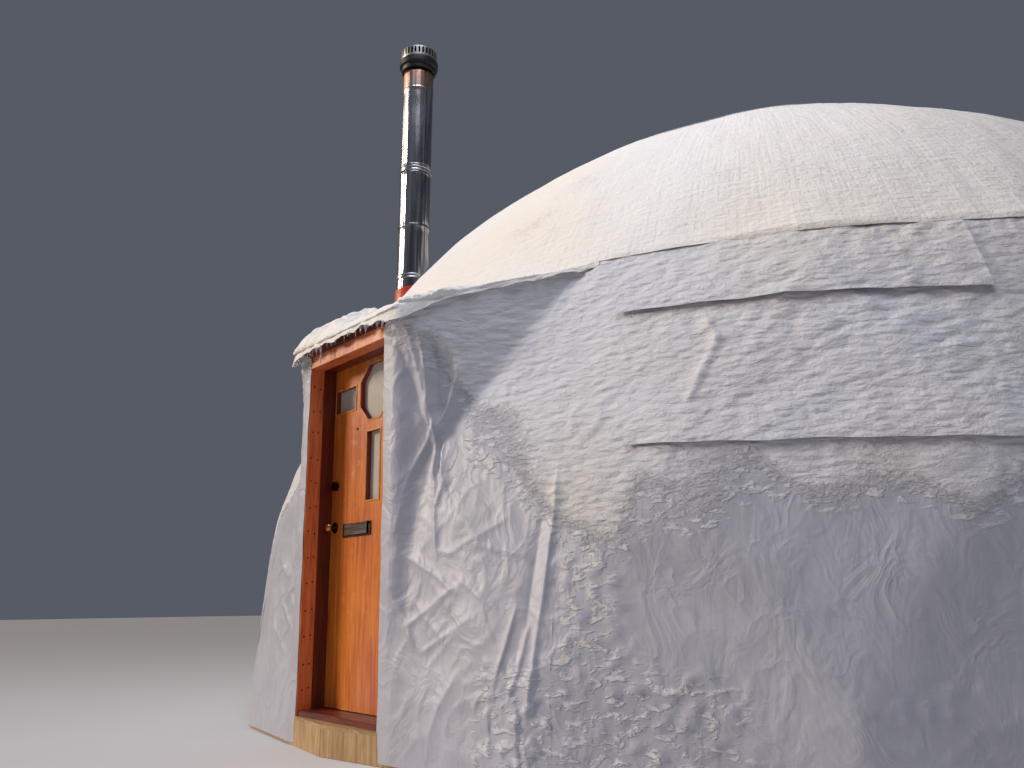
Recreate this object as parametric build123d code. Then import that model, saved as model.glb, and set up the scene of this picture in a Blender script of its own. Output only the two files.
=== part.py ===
from build123d import *
import math
import os

# Geodesic dome: a fabric-covered hemisphere of steel struts on a low timber
# platform, with a timber doorway and a stainless chimney.
# Millimetres. The origin is on the ground at the dome's axis, the door faces -Y.

# Running clearances
seat = 0.3
swing_gap = 5.0

# Timber platform
joist_thickness = 38.0
joist_depth = 140.0
joist_spacing = 610.0
deck_thickness = 19.0
curb_width = 89.0
curb_height = 114.0

# Steel frame
frame_radius = 4460.0
strut_diameter = 34.0
hub_diameter = 90.0
hub_thickness = 40.0

# Flat faces round a strut and round a hub
strut_sides = 6
hub_sides = 10

# Fabric cover
cover_thickness = 4.0
ground_clearance = 12.0

# Doorway timber
board_thickness = 38.0
surround_depth = 89.0
post_depth = 184.0
threshold_height = 31.0
threshold_inset = 6.0
jamb_thickness = 24.7
stop_thickness = 13.0
stop_depth = 84.0
fascia_height = 72.0
fascia_thickness = 19.0
fascia_inset = 3.0
eave_half_width = 600.0

# Door leaf
leaf_width = 904.0
leaf_height = 2050.0
leaf_thickness = 44.0

# Windows in the leaf, their places given from the leaf's middle and foot
window_offset = 38.0
octagon_width = 336.0
octagon_height = 350.0
octagon_corner = 98.0
octagon_middle_height = 1840.0
tall_window_width = 154.0
tall_window_height = 415.0
tall_window_middle_height = 1388.0
side_window_height = 150.0
side_window_gap = 52.0
latch_stile = 20.0
hinge_stile = 60.0
side_window_middle_height = 1835.0
pane_inset = 7.0
pane_thickness = 6.0
bead_width = 14.0
bead_thickness = 9.0

# Door furniture
knob_height = 1045.0
knob_setback = 62.0
knob_diameter = 54.0
knob_reach = 68.0
knob_neck_share = 0.45
knob_widest_share = 0.7
knob_face_share = 0.72
rose_diameter = 64.0
rose_thickness = 8.0
spindle_diameter = 18.0
deadbolt_height = 1300.0
deadbolt_diameter = 56.0
deadbolt_reach = 24.0
mail_slot_height = 1019.0
mail_slot_offset = -127.0
mail_plate_width = 330.0
mail_plate_height = 82.0
mail_plate_thickness = 4.0
mail_slot_width = 250.0
mail_slot_opening = 34.0
mail_flap_thickness = 3.0
mail_pin_diameter = 6.0
peephole_height = 1630.0
peephole_offset = -157.0
peephole_diameter = 16.0
peephole_rim = 4.0
hinge_height = 102.0
hinge_pin_diameter = 11.0
hinge_leaf_width = 38.0
hinge_leaf_thickness = 3.0
hinge_inset = 200.0

# Chimney
chimney_turn = -20.53
chimney_elevation = 40.6
pipe_diameter = 254.0
pipe_wall = 25.0
pipe_rise = 1948.0
pipe_drop = 600.0
pipe_lean = 1.5
lower_band_rise = 73.0
upper_band_rise = 1008.0
band_width = 40.0
band_thickness = 7.0
collar_diameter = 290.0
collar_height = 45.0
flange_diameter = 326.0
flange_height = 62.0
cap_diameter = 305.0
cap_height = 92.0
cap_slot_pairs = 12
cap_slot_width = 14.0
cap_slot_height = 55.0
cap_slot_rise = 20.0
boot_diameter = 380.0
boot_thickness = 8.0
boot_rise = 10.0
boot_tilt = 12.0
boot_drop = 260.0

# Window flaps of the cover
flap_thickness = 3.0
upper_flap_turn = 23.4
lower_flap_turn = 25.2
flap_end_turn = 50.0
upper_flap_hem = 2235.0
upper_flap_top = 2440.0
lower_flap_hem = 1480.0
lower_flap_top = 1660.0

# Levels worked out from the sizes above
deck_top = joist_depth + deck_thickness
curb_top = deck_top + curb_height
centre_height = curb_top + hub_diameter / 2 + seat
CENTRE = Vector(0, 0, centre_height)

# The pattern of an icosahedron whose edges are divided by four and carried out
# to the sphere. Only an even division closes on a level ring of hubs.
EDGE_DIVISIONS = 4
PRIMARY_TURN = 360.0 / 5


def on_sphere(elevation, turn):
    """Unit direction at an elevation and a turn from the door toward +X, in degrees."""
    level = math.cos(math.radians(elevation))
    around = math.radians(turn)
    return Vector(
        level * math.sin(around), -level * math.cos(around), math.sin(math.radians(elevation))
    )


def turn_of(point):
    """Turn of a point about the dome's axis, from the door toward +X, 0 to 360 degrees."""
    return math.degrees(math.atan2(point.X, -point.Y)) % 360.0


def primary_faces():
    """Corners of the icosahedron's faces that reach above the level ring."""
    elevation = math.degrees(math.atan(0.5))
    top = Vector(0, 0, 1)
    faces = []
    for k in range(5):
        turn = PRIMARY_TURN * k
        upper = on_sphere(elevation, turn + PRIMARY_TURN / 2)
        next_upper = on_sphere(elevation, turn + 1.5 * PRIMARY_TURN)
        lower = on_sphere(-elevation, turn)
        next_lower = on_sphere(-elevation, turn + PRIMARY_TURN)
        faces.append((top, upper, next_upper))
        faces.append((upper, next_lower, next_upper))
        faces.append((upper, lower, next_lower))
    return faces


def key(point):
    """A point's coordinates rounded, to tell like points."""
    return (round(point.X, 5), round(point.Y, 5), round(point.Z, 5))


def dome_pattern():
    """Unit hub directions and the triangles of hub numbers, seen turning left from outside."""
    hubs = []
    numbers = {}
    triangles = []

    def hub(a, b, c, i, j):
        point = (a * (EDGE_DIVISIONS - i - j) + b * i + c * j).normalized()
        name = key(point)
        if name not in numbers:
            numbers[name] = len(hubs)
            hubs.append(point)
        return numbers[name]

    for a, b, c in primary_faces():
        for i in range(EDGE_DIVISIONS):
            for j in range(EDGE_DIVISIONS - i):
                first = hub(a, b, c, i, j)
                second = hub(a, b, c, i + 1, j)
                third = hub(a, b, c, i, j + 1)
                triangles.append((first, second, third))
                if i + j < EDGE_DIVISIONS - 1:
                    triangles.append((second, hub(a, b, c, i + 1, j + 1), third))
    level = -1e-4
    kept = [t for t in triangles if all(hubs[n].Z > level for n in t)]
    turned = []
    for a, b, c in kept:
        normal = (hubs[b] - hubs[a]).cross(hubs[c] - hubs[a])
        turned.append((a, b, c) if normal.dot(hubs[a]) > 0 else (a, c, b))
    return hubs, turned


HUBS, PANELS = dome_pattern()
STRUTS = sorted({tuple(sorted(pair)) for t in PANELS for pair in (t[:2], t[1:], (t[2], t[0]))})


def hub_rings():
    """Ring of each hub: 0 on the base, one more for each strut up from it."""
    ring = {n: 0 for t in PANELS for n in t if abs(HUBS[n].Z) < 1e-4}
    edge = set(ring)
    while edge:
        found = set()
        for a, b in STRUTS:
            for near, far in ((a, b), (b, a)):
                if near in edge and far not in ring:
                    found.add(far)
        for n in found:
            ring[n] = max(ring[m] for m in edge) + 1
        edge = found
    return ring


RING = hub_rings()


def nearest_hub(elevation, turn):
    """Number of the hub that lies closest to a direction."""
    aim = on_sphere(elevation, turn)
    return max(RING, key=lambda n: HUBS[n].dot(aim))


# Hubs about the doorway, whose middle is on a hub of the base ring
DOOR_HUB = nearest_hub(0, 0)
BASE_HUBS = {+1: nearest_hub(0, 18), -1: nearest_hub(0, -18)}
SHOULDER_HUBS = {+1: nearest_hub(16, 9.7), -1: nearest_hub(16, -9.7)}
BROW_HUB = nearest_hub(31.7, 0)
BROW_SIDE_HUBS = {+1: nearest_hub(30.2, 20), -1: nearest_hub(30.2, -20)}


def facet_slope(n):
    """Steepest slope of the panels at a hub against the plane square to its spoke."""
    slope = 0.0
    for a, b, c in PANELS:
        if n in (a, b, c):
            normal = (HUBS[b] - HUBS[a]).cross(HUBS[c] - HUBS[a]).normalized()
            slope = max(slope, math.tan(math.acos(normal.dot(HUBS[n]))))
    return slope


# The fabric lies on the rims of the hubs, so its corners stand off the hub faces
hub_drop = max(facet_slope(n) for n in RING) * hub_diameter / 2
cover_inner = frame_radius + hub_thickness / 2 + hub_drop + seat
cover_outer = cover_inner + cover_thickness

# Base outline: the timber stands just inside the skirt
base_turn = 360.0 / 20
timber_radius = cover_inner - 2 * seat

# Doorway places
surround_inner_x = leaf_width / 2 + swing_gap - stop_thickness
surround_outer_x = surround_inner_x + board_thickness
post_inner_x = surround_outer_x + seat
post_outer_x = post_inner_x + board_thickness
fabric_x = post_outer_x + 3 * seat
base_corner = on_sphere(0, base_turn) * cover_inner
wall_run = (base_corner.Y + cover_inner) / base_corner.X
fabric_y = -cover_inner + wall_run * fabric_x
post_front_y = fabric_y + 3 * seat
surround_front_y = fabric_y - cover_thickness
jamb_front_y = surround_front_y + surround_depth + seat
leaf_front_y = jamb_front_y + stop_depth + swing_gap
leaf_back_y = leaf_front_y + leaf_thickness
sill_top = deck_top + seat + threshold_height
leaf_foot = sill_top + swing_gap
leaf_top = leaf_foot + leaf_height
head_bottom = leaf_top + swing_gap - stop_thickness
head_top = head_bottom + board_thickness
beam_bottom = head_top + seat
beam_top = beam_bottom + board_thickness
fascia_bottom = beam_top + seat
fascia_top = fascia_bottom + fascia_height
eave_height = fascia_top + 3 * seat
pin_x = leaf_width / 2 + swing_gap / 2
pin_y = leaf_back_y + hinge_pin_diameter / 2 + 1.0

# Where the flue's middle passes through the cover's round form
flue_place = CENTRE + on_sphere(chimney_elevation, chimney_turn) * cover_outer
pipe_bottom = flue_place.Z - pipe_drop
pipe_top = flue_place.Z + pipe_rise


def sheet_solid(polygons, inner=1.0, outer=cover_outer / cover_inner):
    """Closed solid between a faceted sheet and its copy scaled about the sphere's centre.

    The polygons are given about that centre, on the sheet's inner side.
    """
    faces = []
    edges = {}
    for polygon in polygons:
        faces.append(flat_face([p * outer for p in polygon]))
        faces.append(flat_face([p * inner for p in reversed(polygon)]))
        for a, b in zip(polygon, polygon[1:] + polygon[:1]):
            edges[key(a), key(b)] = (a, b)
    for (start, end), (a, b) in edges.items():
        if (end, start) not in edges:
            faces.append(flat_face([a * inner, b * inner, b * outer, a * outer]))
    return Pos(CENTRE) * Solid(Shell(faces))


def flat_face(points):
    """Flat face bounded by straight lines through the points."""
    return Face(Wire.make_polygon(points, close=True))


def cover_point(n):
    """Inner side of the cover over a hub, about the sphere's centre."""
    return HUBS[n] * cover_inner


def facing(polygon):
    """The polygon turned so that it faces away from the sphere's centre."""
    normal = Vector(0, 0, 0)
    for a, b in zip(polygon, polygon[1:] + polygon[:1]):
        normal += (a - polygon[0]).cross(b - polygon[0])
    return polygon if normal.dot(polygon[0]) > 0 else list(reversed(polygon))


def beam(start, end, thickness):
    """Straight bar of a few sides from one point to another, measured across its corners."""
    along = end - start
    profile = Plane(origin=start, z_dir=along) * RegularPolygon(thickness / 2, strut_sides)
    return extrude(profile, amount=along.length, dir=along.normalized())


def box_between(low, high):
    """Block with its lowest and highest corners at the given points."""
    size = [h - l for l, h in zip(low, high)]
    middle = [(l + h) / 2 for l, h in zip(low, high)]
    return Pos(*middle) * Box(*size)


def ring_timber(turn, outer_radius, width, bottom, top):
    """One straight timber of the many-sided base ring, mitred at both ends."""
    gap = 2 * seat
    half_turn = math.radians(base_turn / 2)
    outer = outer_radius * math.cos(half_turn)
    inner = outer - width
    reach = math.tan(half_turn)
    outline = [
        (outer * reach - gap, -outer),
        (inner * reach - gap, -inner),
        (-inner * reach + gap, -inner),
        (-outer * reach + gap, -outer),
    ]
    profile = make_face(Polyline(*outline, close=True))
    return Rot(Z=turn + base_turn / 2) * Pos(Z=bottom) * extrude(profile, amount=top - bottom)


def platform_rim():
    """Rim joists on edge under the deck's outline."""
    return [
        ring_timber(base_turn * k, timber_radius, joist_thickness, 0, joist_depth)
        for k in range(20)
    ]


def floor_joists():
    """Parallel joists that run between the rim joists."""
    half_turn = math.radians(base_turn / 2)
    apothem = timber_radius * math.cos(half_turn) - joist_thickness - seat
    inside = extrude(RegularPolygon(apothem / math.cos(half_turn), 20), amount=joist_depth)
    count = int((apothem - joist_thickness) / joist_spacing)
    joists = []
    for k in range(-count, count + 1):
        y = k * joist_spacing
        bar = box_between(
            (-apothem, y - joist_thickness / 2, 0), (apothem, y + joist_thickness / 2, joist_depth)
        )
        joists.append((bar & inside).solid())
    return joists


def floor_deck():
    """Plywood deck to the outline of the rim."""
    plate = RegularPolygon(timber_radius, 20)
    return [Pos(Z=joist_depth) * extrude(plate, amount=deck_thickness)]


def base_curb():
    """Timber curb under the base ring, open at the doorway."""
    timbers = [
        ring_timber(base_turn * k, timber_radius, curb_width, deck_top, curb_top)
        for k in range(20)
    ]
    depth = 2 * curb_width
    doorway = box_between(
        (-post_outer_x - seat, -timber_radius - depth, deck_top - 1),
        (post_outer_x + seat, -timber_radius + 2 * depth, curb_top + 1),
    )
    return [(timber - doorway).solid() for timber in timbers]


def hub_drum(n):
    """Round hub that the struts of one crossing run into, its face square to the spoke."""
    plane = Plane(origin=hub_place(n), z_dir=HUBS[n])
    drum = plane * RegularPolygon(hub_diameter / 2, hub_sides)
    return extrude(drum, amount=hub_thickness / 2, both=True)


def hub_place(n):
    """Middle of a hub in the part's own frame."""
    return CENTRE + HUBS[n] * frame_radius


def clear_of_hub(n, along):
    """Distance from a hub's middle at which a strut's square end clears the drum."""
    corners = [Vector(*corner) - hub_place(n) for corner in hub_drum(n).vertices()]
    return max(corner.dot(along) for corner in corners) + seat


def strut(a, b):
    """Strut between two hubs, its square ends against their rims."""
    along = (hub_place(b) - hub_place(a)).normalized()
    start = hub_place(a) + along * clear_of_hub(a, along)
    end = hub_place(b) - along * clear_of_hub(b, along)
    return beam(start, end, strut_diameter)


REMOVED_STRUTS = {
    tuple(sorted(pair))
    for pair in [(SHOULDER_HUBS[1], SHOULDER_HUBS[-1])]
    + [(BROW_HUB, SHOULDER_HUBS[side]) for side in (1, -1)]
}


def frame_band(rings):
    """Hubs and struts of some rings, with the struts that run down from them."""
    hubs = [n for n in RING if RING[n] in rings and n != DOOR_HUB]
    bars = []
    for a, b in STRUTS:
        if DOOR_HUB in (a, b) or (a, b) in REMOVED_STRUTS:
            continue
        if max(RING[a], RING[b]) in rings:
            bars.append(strut(a, b))
    return [hub_drum(n) for n in hubs] + bars


def doorway_struts():
    """Short struts that tie the timber doorway to the hubs about it."""
    bars = []
    post_y = post_front_y + board_thickness
    back_y = post_front_y + post_depth - board_thickness
    for side in (1, -1):
        shoulder = SHOULDER_HUBS[side]
        post_x = side * (post_outer_x - board_thickness / 2)
        beam_x = side * surround_inner_x
        beam_z = beam_top - board_thickness / 2
        bars.append((BASE_HUBS[side], Vector(post_x, post_y, centre_height)))
        bars.append((shoulder, Vector(post_x, back_y, hub_place(shoulder).Z)))
        bars.append((BROW_HUB, Vector(beam_x, back_y, beam_z)))
    solids = []
    for n, target in bars:
        along = (target - hub_place(n)).normalized()
        start = hub_place(n) + along * clear_of_hub(n, along)
        solids.append((beam(start, target, strut_diameter) - frame_space()).solid())
    return solids


def frame_space():
    """Space of the doorway's rough timber and what it encloses, with the seat gap about it."""
    return box_between(
        (-post_outer_x - seat, post_front_y - seat, deck_top),
        (post_outer_x + seat, post_front_y + post_depth + seat, beam_top + seat),
    )


def skirt_corner(point):
    """The cover's lower hem under a point of the base ring, about the centre."""
    return Vector(point.X, point.Y, ground_clearance - centre_height)


def panels_between(first_turn, last_turn):
    """Panels whose middles lie between two turns."""
    found = []
    for t in PANELS:
        middle = (HUBS[t[0]] + HUBS[t[1]] + HUBS[t[2]]) / 3
        if (turn_of(middle) - first_turn) % 360.0 < last_turn - first_turn:
            found.append(t)
    return found


def wall_cover(first_turn, last_turn):
    """Fabric of the wall between two turns, from the hem to the third ring of hubs."""
    polygons = []
    for t in panels_between(first_turn, last_turn):
        if max(RING[n] for n in t) <= 2:
            polygons.append([cover_point(n) for n in t])
    for k in range(20):
        turn = base_turn * k
        if first_turn <= turn < last_turn - 1:
            a = on_sphere(0, turn) * cover_inner
            b = on_sphere(0, turn + base_turn) * cover_inner
            polygons.append(facing([skirt_corner(a), skirt_corner(b), b, a]))
    return [sheet_solid(polygons)]


def doorway_corner(side, x, z):
    """Point of the cover's front edge beside the doorway, about the centre."""
    return Vector(side * x, fabric_y, z - centre_height)


def doorway_cover_side(side):
    """Fabric from the wall's hubs to the doorway's front edge, and round that edge."""
    base = cover_point(BASE_HUBS[side])
    shoulder = cover_point(SHOULDER_HUBS[side])
    brow_side = cover_point(BROW_SIDE_HUBS[side])
    brow = cover_point(BROW_HUB)
    sill = doorway_corner(side, fabric_x, deck_top + 2 * seat)
    foot = doorway_corner(side, fabric_x, centre_height)
    neck = doorway_corner(side, fabric_x, fascia_bottom - cover_thickness)
    eave = doorway_corner(side, eave_half_width, eave_height)
    edge_x = surround_outer_x + 2 * seat
    edge_sill = doorway_corner(side, edge_x, deck_top + 2 * seat)
    edge_neck = doorway_corner(side, edge_x, fascia_bottom - cover_thickness)
    polygons = [
        [base, shoulder, foot],
        [foot, shoulder, neck],
        [neck, shoulder, eave],
        [eave, shoulder, brow_side],
        [eave, brow_side, brow],
        [skirt_corner(base), base, foot, sill, skirt_corner(foot)],
        [sill, foot, neck, edge_neck, edge_sill],
    ]
    return [sheet_solid([facing(p) for p in polygons])]


def roof_cover(first_turn):
    """Fabric of a fifth of the roof, from the third ring of hubs to the fifth."""
    polygons = []
    for t in panels_between(first_turn, first_turn + PRIMARY_TURN):
        if max(RING[n] for n in t) in (3, 4):
            polygons.append([cover_point(n) for n in t])
    return sheet_solid(polygons)


def crown_cover():
    """Fabric over the top of the dome."""
    polygons = [[cover_point(n) for n in t] for t in PANELS if max(RING[n] for n in t) > 4]
    return [sheet_solid(polygons)]


def doorway_roof_cover():
    """Fabric of the doorway's roof, from the eave up to the hub over it."""
    brow = cover_point(BROW_HUB)
    eaves = [doorway_corner(side, eave_half_width, eave_height) for side in (1, -1)]
    return [sheet_solid([facing([brow, *eaves])])]


def rough_frame():
    """Two posts and the beam that carry the doorway."""
    back_y = post_front_y + post_depth
    solids = [
        box_between(
            (-post_outer_x, post_front_y, beam_bottom), (post_outer_x, back_y, beam_top)
        )
    ]
    for side in (1, -1):
        xs = sorted((side * post_inner_x, side * post_outer_x))
        solids.append(
            box_between(
                (xs[0], post_front_y, deck_top + seat), (xs[1], back_y, beam_bottom - seat)
            )
        )
    return solids


def surround_boards():
    """Boards that line the mouth of the doorway, with the head between the posts."""
    back_y = surround_front_y + surround_depth
    solids = []
    for side in (1, -1):
        xs = sorted((side * surround_inner_x, side * surround_outer_x))
        solids.append(
            box_between(
                (xs[0], surround_front_y, deck_top + seat), (xs[1], back_y, head_top)
            )
        )
    half = surround_inner_x - seat
    solids.append(
        box_between((-half, surround_front_y, head_bottom), (half, back_y, head_top))
    )
    return solids


def door_jamb():
    """Side and head jambs with their stops, one frame."""
    back_y = leaf_back_y
    inner_x = leaf_width / 2 + swing_gap
    outer_x = inner_x + jamb_thickness
    jamb_head = leaf_top + swing_gap
    jamb_top = min(jamb_head + jamb_thickness, head_top)
    outside = box_between(
        (-outer_x, jamb_front_y, deck_top + seat), (outer_x, back_y, jamb_top)
    )
    opening = box_between(
        (-inner_x, jamb_front_y - 1, deck_top), (inner_x, back_y + 1, jamb_head)
    )
    stop_back = jamb_front_y + stop_depth
    stop_x = inner_x - stop_thickness
    stop_head = jamb_head - stop_thickness
    stops = box_between(
        (-inner_x, jamb_front_y, deck_top + seat), (inner_x, stop_back, jamb_head)
    ) - box_between(
        (-stop_x, jamb_front_y - 1, deck_top), (stop_x, stop_back + 1, stop_head)
    )
    return [(outside - opening + stops).solid()]


def threshold():
    """Sill board between the stops, with its front edge eased."""
    half = surround_inner_x - seat
    block = box_between(
        (-half, surround_front_y + threshold_inset, deck_top + seat), (half, leaf_back_y, sill_top)
    )
    front = block.edges().filter_by(Axis.X).group_by(Axis.Y)[0].group_by(Axis.Z)[-1]
    return [chamfer(front, threshold_height / 3)]


def fascia_board():
    """Board on edge under the eave of the doorway's roof."""
    front_y = post_front_y - fascia_thickness / 2
    return [
        box_between(
            (-post_outer_x + fascia_inset, front_y, fascia_bottom),
            (post_outer_x - fascia_inset, front_y + fascia_thickness, fascia_top),
        )
    ]


def octagon(width, height, corner):
    """Rectangle with its four corners cut off."""
    x = width / 2
    y = height / 2
    points = [
        (x, y - corner), (x - corner, y), (corner - x, y), (-x, y - corner),
        (-x, corner - y), (corner - x, -y), (x - corner, -y), (x, corner - y),
    ]
    return make_face(Polyline(*points, close=True))


def window_outlines(grow=0.0):
    """Places on the leaf and flat outlines of its windows, widened all round."""
    corner = octagon_corner + grow * (2 - math.sqrt(2))
    eight = octagon(octagon_width + 2 * grow, octagon_height + 2 * grow, corner)
    tall = Rectangle(tall_window_width + 2 * grow, tall_window_height + 2 * grow)
    outlines = [
        (window_offset, octagon_middle_height, eight),
        (window_offset, tall_window_middle_height, tall),
    ]
    for side, stile in ((-1, latch_stile), (1, hinge_stile)):
        near = window_offset + side * (octagon_width / 2 + side_window_gap)
        far = side * (leaf_width / 2 - stile)
        small = Rectangle(abs(far - near) + 2 * grow, side_window_height + 2 * grow)
        outlines.append(((near + far) / 2, side_window_middle_height, small))
    return outlines


def on_leaf(x, z, y):
    """Plane facing out of the door at a place on the leaf."""
    return Plane(origin=(x, y, leaf_foot + z), x_dir=(1, 0, 0), z_dir=(0, -1, 0))


def window_prisms(grow, front_y, depth):
    """Prisms through the leaf to the window outlines, from a depth inward."""
    return [
        extrude(on_leaf(x, z, front_y) * outline, amount=-depth)
        for x, z, outline in window_outlines(grow)
    ]


def door_leaf():
    """Leaf with its windows, rebates and mail slot cut through."""
    half = leaf_width / 2
    leaf = box_between((-half, leaf_front_y, leaf_foot), (half, leaf_back_y, leaf_top))
    for prism in window_prisms(0, leaf_front_y - 1, leaf_thickness + 2):
        leaf -= prism
    slot = on_leaf(mail_slot_offset, mail_slot_height, leaf_front_y - 1)
    leaf -= extrude(
        slot * Rectangle(mail_slot_width, mail_slot_opening), amount=-leaf_thickness - 2
    )
    spindle = on_leaf(-half + knob_setback, knob_height, leaf_front_y - 1)
    leaf -= extrude(
        spindle * Circle(spindle_diameter / 2 + 2 * seat), amount=-leaf_thickness - 2
    )
    return [leaf.solid()]


def window_panes():
    """Panes near the back of the leaf, at the bottom of the windows' deep reveals."""
    front = leaf_back_y - pane_inset - pane_thickness
    return [prism.solid() for prism in window_prisms(-seat, front, pane_thickness)]


def window_beads():
    """Frames of beading that hold the panes, on the leaf's inside face."""
    rings = []
    front = leaf_back_y + seat
    outers = window_prisms(bead_width, front, bead_thickness)
    inners = window_prisms(-bead_width / 2, front - 1, bead_thickness + 2)
    for outer, inner in zip(outers, inners):
        rings.append((outer - inner).solid())
    return rings


def mail_slot_plate():
    """Plate round the mail slot with the two ears that carry the flap's pin."""
    plane = on_leaf(mail_slot_offset, mail_slot_height, leaf_front_y - seat)
    plate = extrude(plane * Rectangle(mail_plate_width, mail_plate_height),
                    amount=mail_plate_thickness)
    plate -= extrude(
        plane * Rectangle(mail_slot_width, mail_slot_opening), amount=mail_plate_thickness
    )
    pin = mail_pin_place()
    for side in (1, -1):
        ear = box_between(
            (-mail_pin_diameter, pin.Y - mail_pin_diameter, pin.Z - mail_pin_diameter),
            (mail_pin_diameter, leaf_front_y - seat - mail_plate_thickness,
             pin.Z + mail_pin_diameter),
        )
        x = mail_slot_offset + side * (mail_slot_width / 2 + 2 * mail_pin_diameter)
        plate += Pos(X=x) * ear
    return [plate.solid()]


def mail_pin_place():
    """Middle of the mail flap's pin."""
    return Vector(
        mail_slot_offset,
        leaf_front_y - seat - mail_plate_thickness - swing_gap - mail_flap_thickness / 2,
        leaf_foot + mail_slot_height + mail_plate_height / 2 - mail_pin_diameter,
    )


def mail_flap():
    """Flap that hangs from its pin over the mail slot."""
    pin = mail_pin_place()
    half = mail_slot_width / 2 + mail_pin_diameter - seat
    drop = mail_plate_height / 2 + mail_slot_opening / 2 + mail_pin_diameter
    blade = box_between(
        (pin.X - half, pin.Y - mail_flap_thickness / 2, pin.Z - drop),
        (pin.X + half, pin.Y + mail_flap_thickness / 2, pin.Z),
    )
    rod = Pos(pin) * Rot(Y=90) * Cylinder(mail_pin_diameter / 2, 2 * half)
    return [(blade + rod).solid()]


def knob_profile(reach, sign, face_y):
    """Round knob with its neck on the spindle's line, outward from a face of the leaf."""
    neck = spindle_diameter / 2
    radius = knob_diameter / 2
    points = [
        (0, 0), (neck, 0), (neck, reach * knob_neck_share), (radius, reach * knob_widest_share),
        (radius * knob_face_share, reach), (0, reach),
    ]
    profile = make_face(Polyline(*points, close=True))
    turned = revolve(profile, Axis.Y)
    x = -leaf_width / 2 + knob_setback
    place = Pos(x, face_y, leaf_foot + knob_height)
    return place * (turned if sign > 0 else Rot(Z=180) * turned)


def door_knob():
    """Outer and inner knobs with the spindle that joins them."""
    outer = knob_profile(knob_reach, -1, leaf_front_y)
    inner = knob_profile(knob_reach, 1, leaf_back_y)
    x = -leaf_width / 2 + knob_setback
    spindle = Pos(x, (leaf_front_y + leaf_back_y) / 2, leaf_foot + knob_height) * Rot(X=90)
    spindle = spindle * Cylinder(spindle_diameter / 2, leaf_thickness + 2)
    return [(outer + inner + spindle).solid()]


def disc_on_leaf(x, z, diameter, thickness, bore, front):
    """Round plate on the outside or inside face of the leaf, bored through."""
    face_y = leaf_front_y - seat if front else leaf_back_y + seat
    plane = on_leaf(x, z, face_y)
    disc = extrude(plane * Circle(diameter / 2), amount=thickness if front else -thickness)
    if bore:
        disc -= extrude(plane * Circle(bore / 2), amount=thickness if front else -thickness)
    return disc.solid()


def door_furniture():
    """Knob roses, deadbolt rings and peephole rims, outside and inside."""
    x = -leaf_width / 2 + knob_setback
    solids = []
    for front in (True, False):
        bore = spindle_diameter + 4 * seat
        solids.append(disc_on_leaf(x, knob_height, rose_diameter, rose_thickness, bore, front))
        solids.append(
            disc_on_leaf(x, deadbolt_height, deadbolt_diameter, deadbolt_reach, 0, front)
        )
        solids.append(
            disc_on_leaf(peephole_offset, peephole_height, peephole_diameter, peephole_rim, 0,
                         front)
        )
    return solids


def hinge_levels():
    """Heights of the middles of the three hinges."""
    low = leaf_foot + hinge_inset
    high = leaf_top - hinge_inset
    return [low, (low + high) / 2, high]


def hinge_knuckles(level, moving):
    """Knuckles of one hinge: the middle three fifths turn with the leaf."""
    part = hinge_height / 5
    solids = []
    for k in range(5):
        if (k % 2 == 1) == moving:
            z = level - hinge_height / 2 + part * (k + 0.5)
            solids.append(Pos(pin_x, pin_y, z) * Cylinder(
                hinge_pin_diameter / 2, part - seat))
    return solids


def hinges(moving):
    """Hinge plates with their knuckles, on the leaf or on the jamb."""
    solids = []
    for level in hinge_levels():
        face_y = leaf_back_y + seat
        side = -1 if moving else 1
        edge_x = pin_x + side * seat
        far_x = pin_x + side * hinge_leaf_width
        xs = sorted((edge_x, far_x))
        plate = box_between(
            (xs[0], face_y, level - hinge_height / 2),
            (xs[1], face_y + hinge_leaf_thickness, level + hinge_height / 2),
        )
        other = hinge_knuckles(level, not moving)
        for knuckle in other:
            grown = Pos(knuckle.center()) * Cylinder(
                hinge_pin_diameter / 2 + seat, hinge_height / 5 + seat)
            plate -= grown
        for knuckle in hinge_knuckles(level, moving):
            plate += knuckle
        solids.append(plate)
    return [s for plate in solids for s in plate.solids()]


CHIMNEY_LINE = Pos(flue_place.X, flue_place.Y, pipe_bottom) * Rot(Y=pipe_lean)


def chimney_piece(bottom, height, diameter, bore=0.0):
    """Round piece on the chimney's line, hollow if it has a bore.

    The line stands on the chimney's place in the floor plan and leans toward the doorway.
    """
    shape = Circle(diameter / 2)
    if bore:
        shape -= Circle(bore / 2)
    return CHIMNEY_LINE * Pos(Z=bottom - pipe_bottom) * extrude(shape, amount=height)


def chimney_pipe():
    """Double-walled flue, open from end to end."""
    height = pipe_top - pipe_bottom
    return [chimney_piece(pipe_bottom, height, pipe_diameter, pipe_diameter - 2 * pipe_wall)]


def chimney_bands():
    """Locking bands round the joints of the flue's lengths."""
    bore = pipe_diameter + 2 * seat
    return [
        chimney_piece(flue_place.Z + rise, band_width, bore + 2 * band_thickness, bore)
        for rise in (lower_band_rise, upper_band_rise)
    ]


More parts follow.
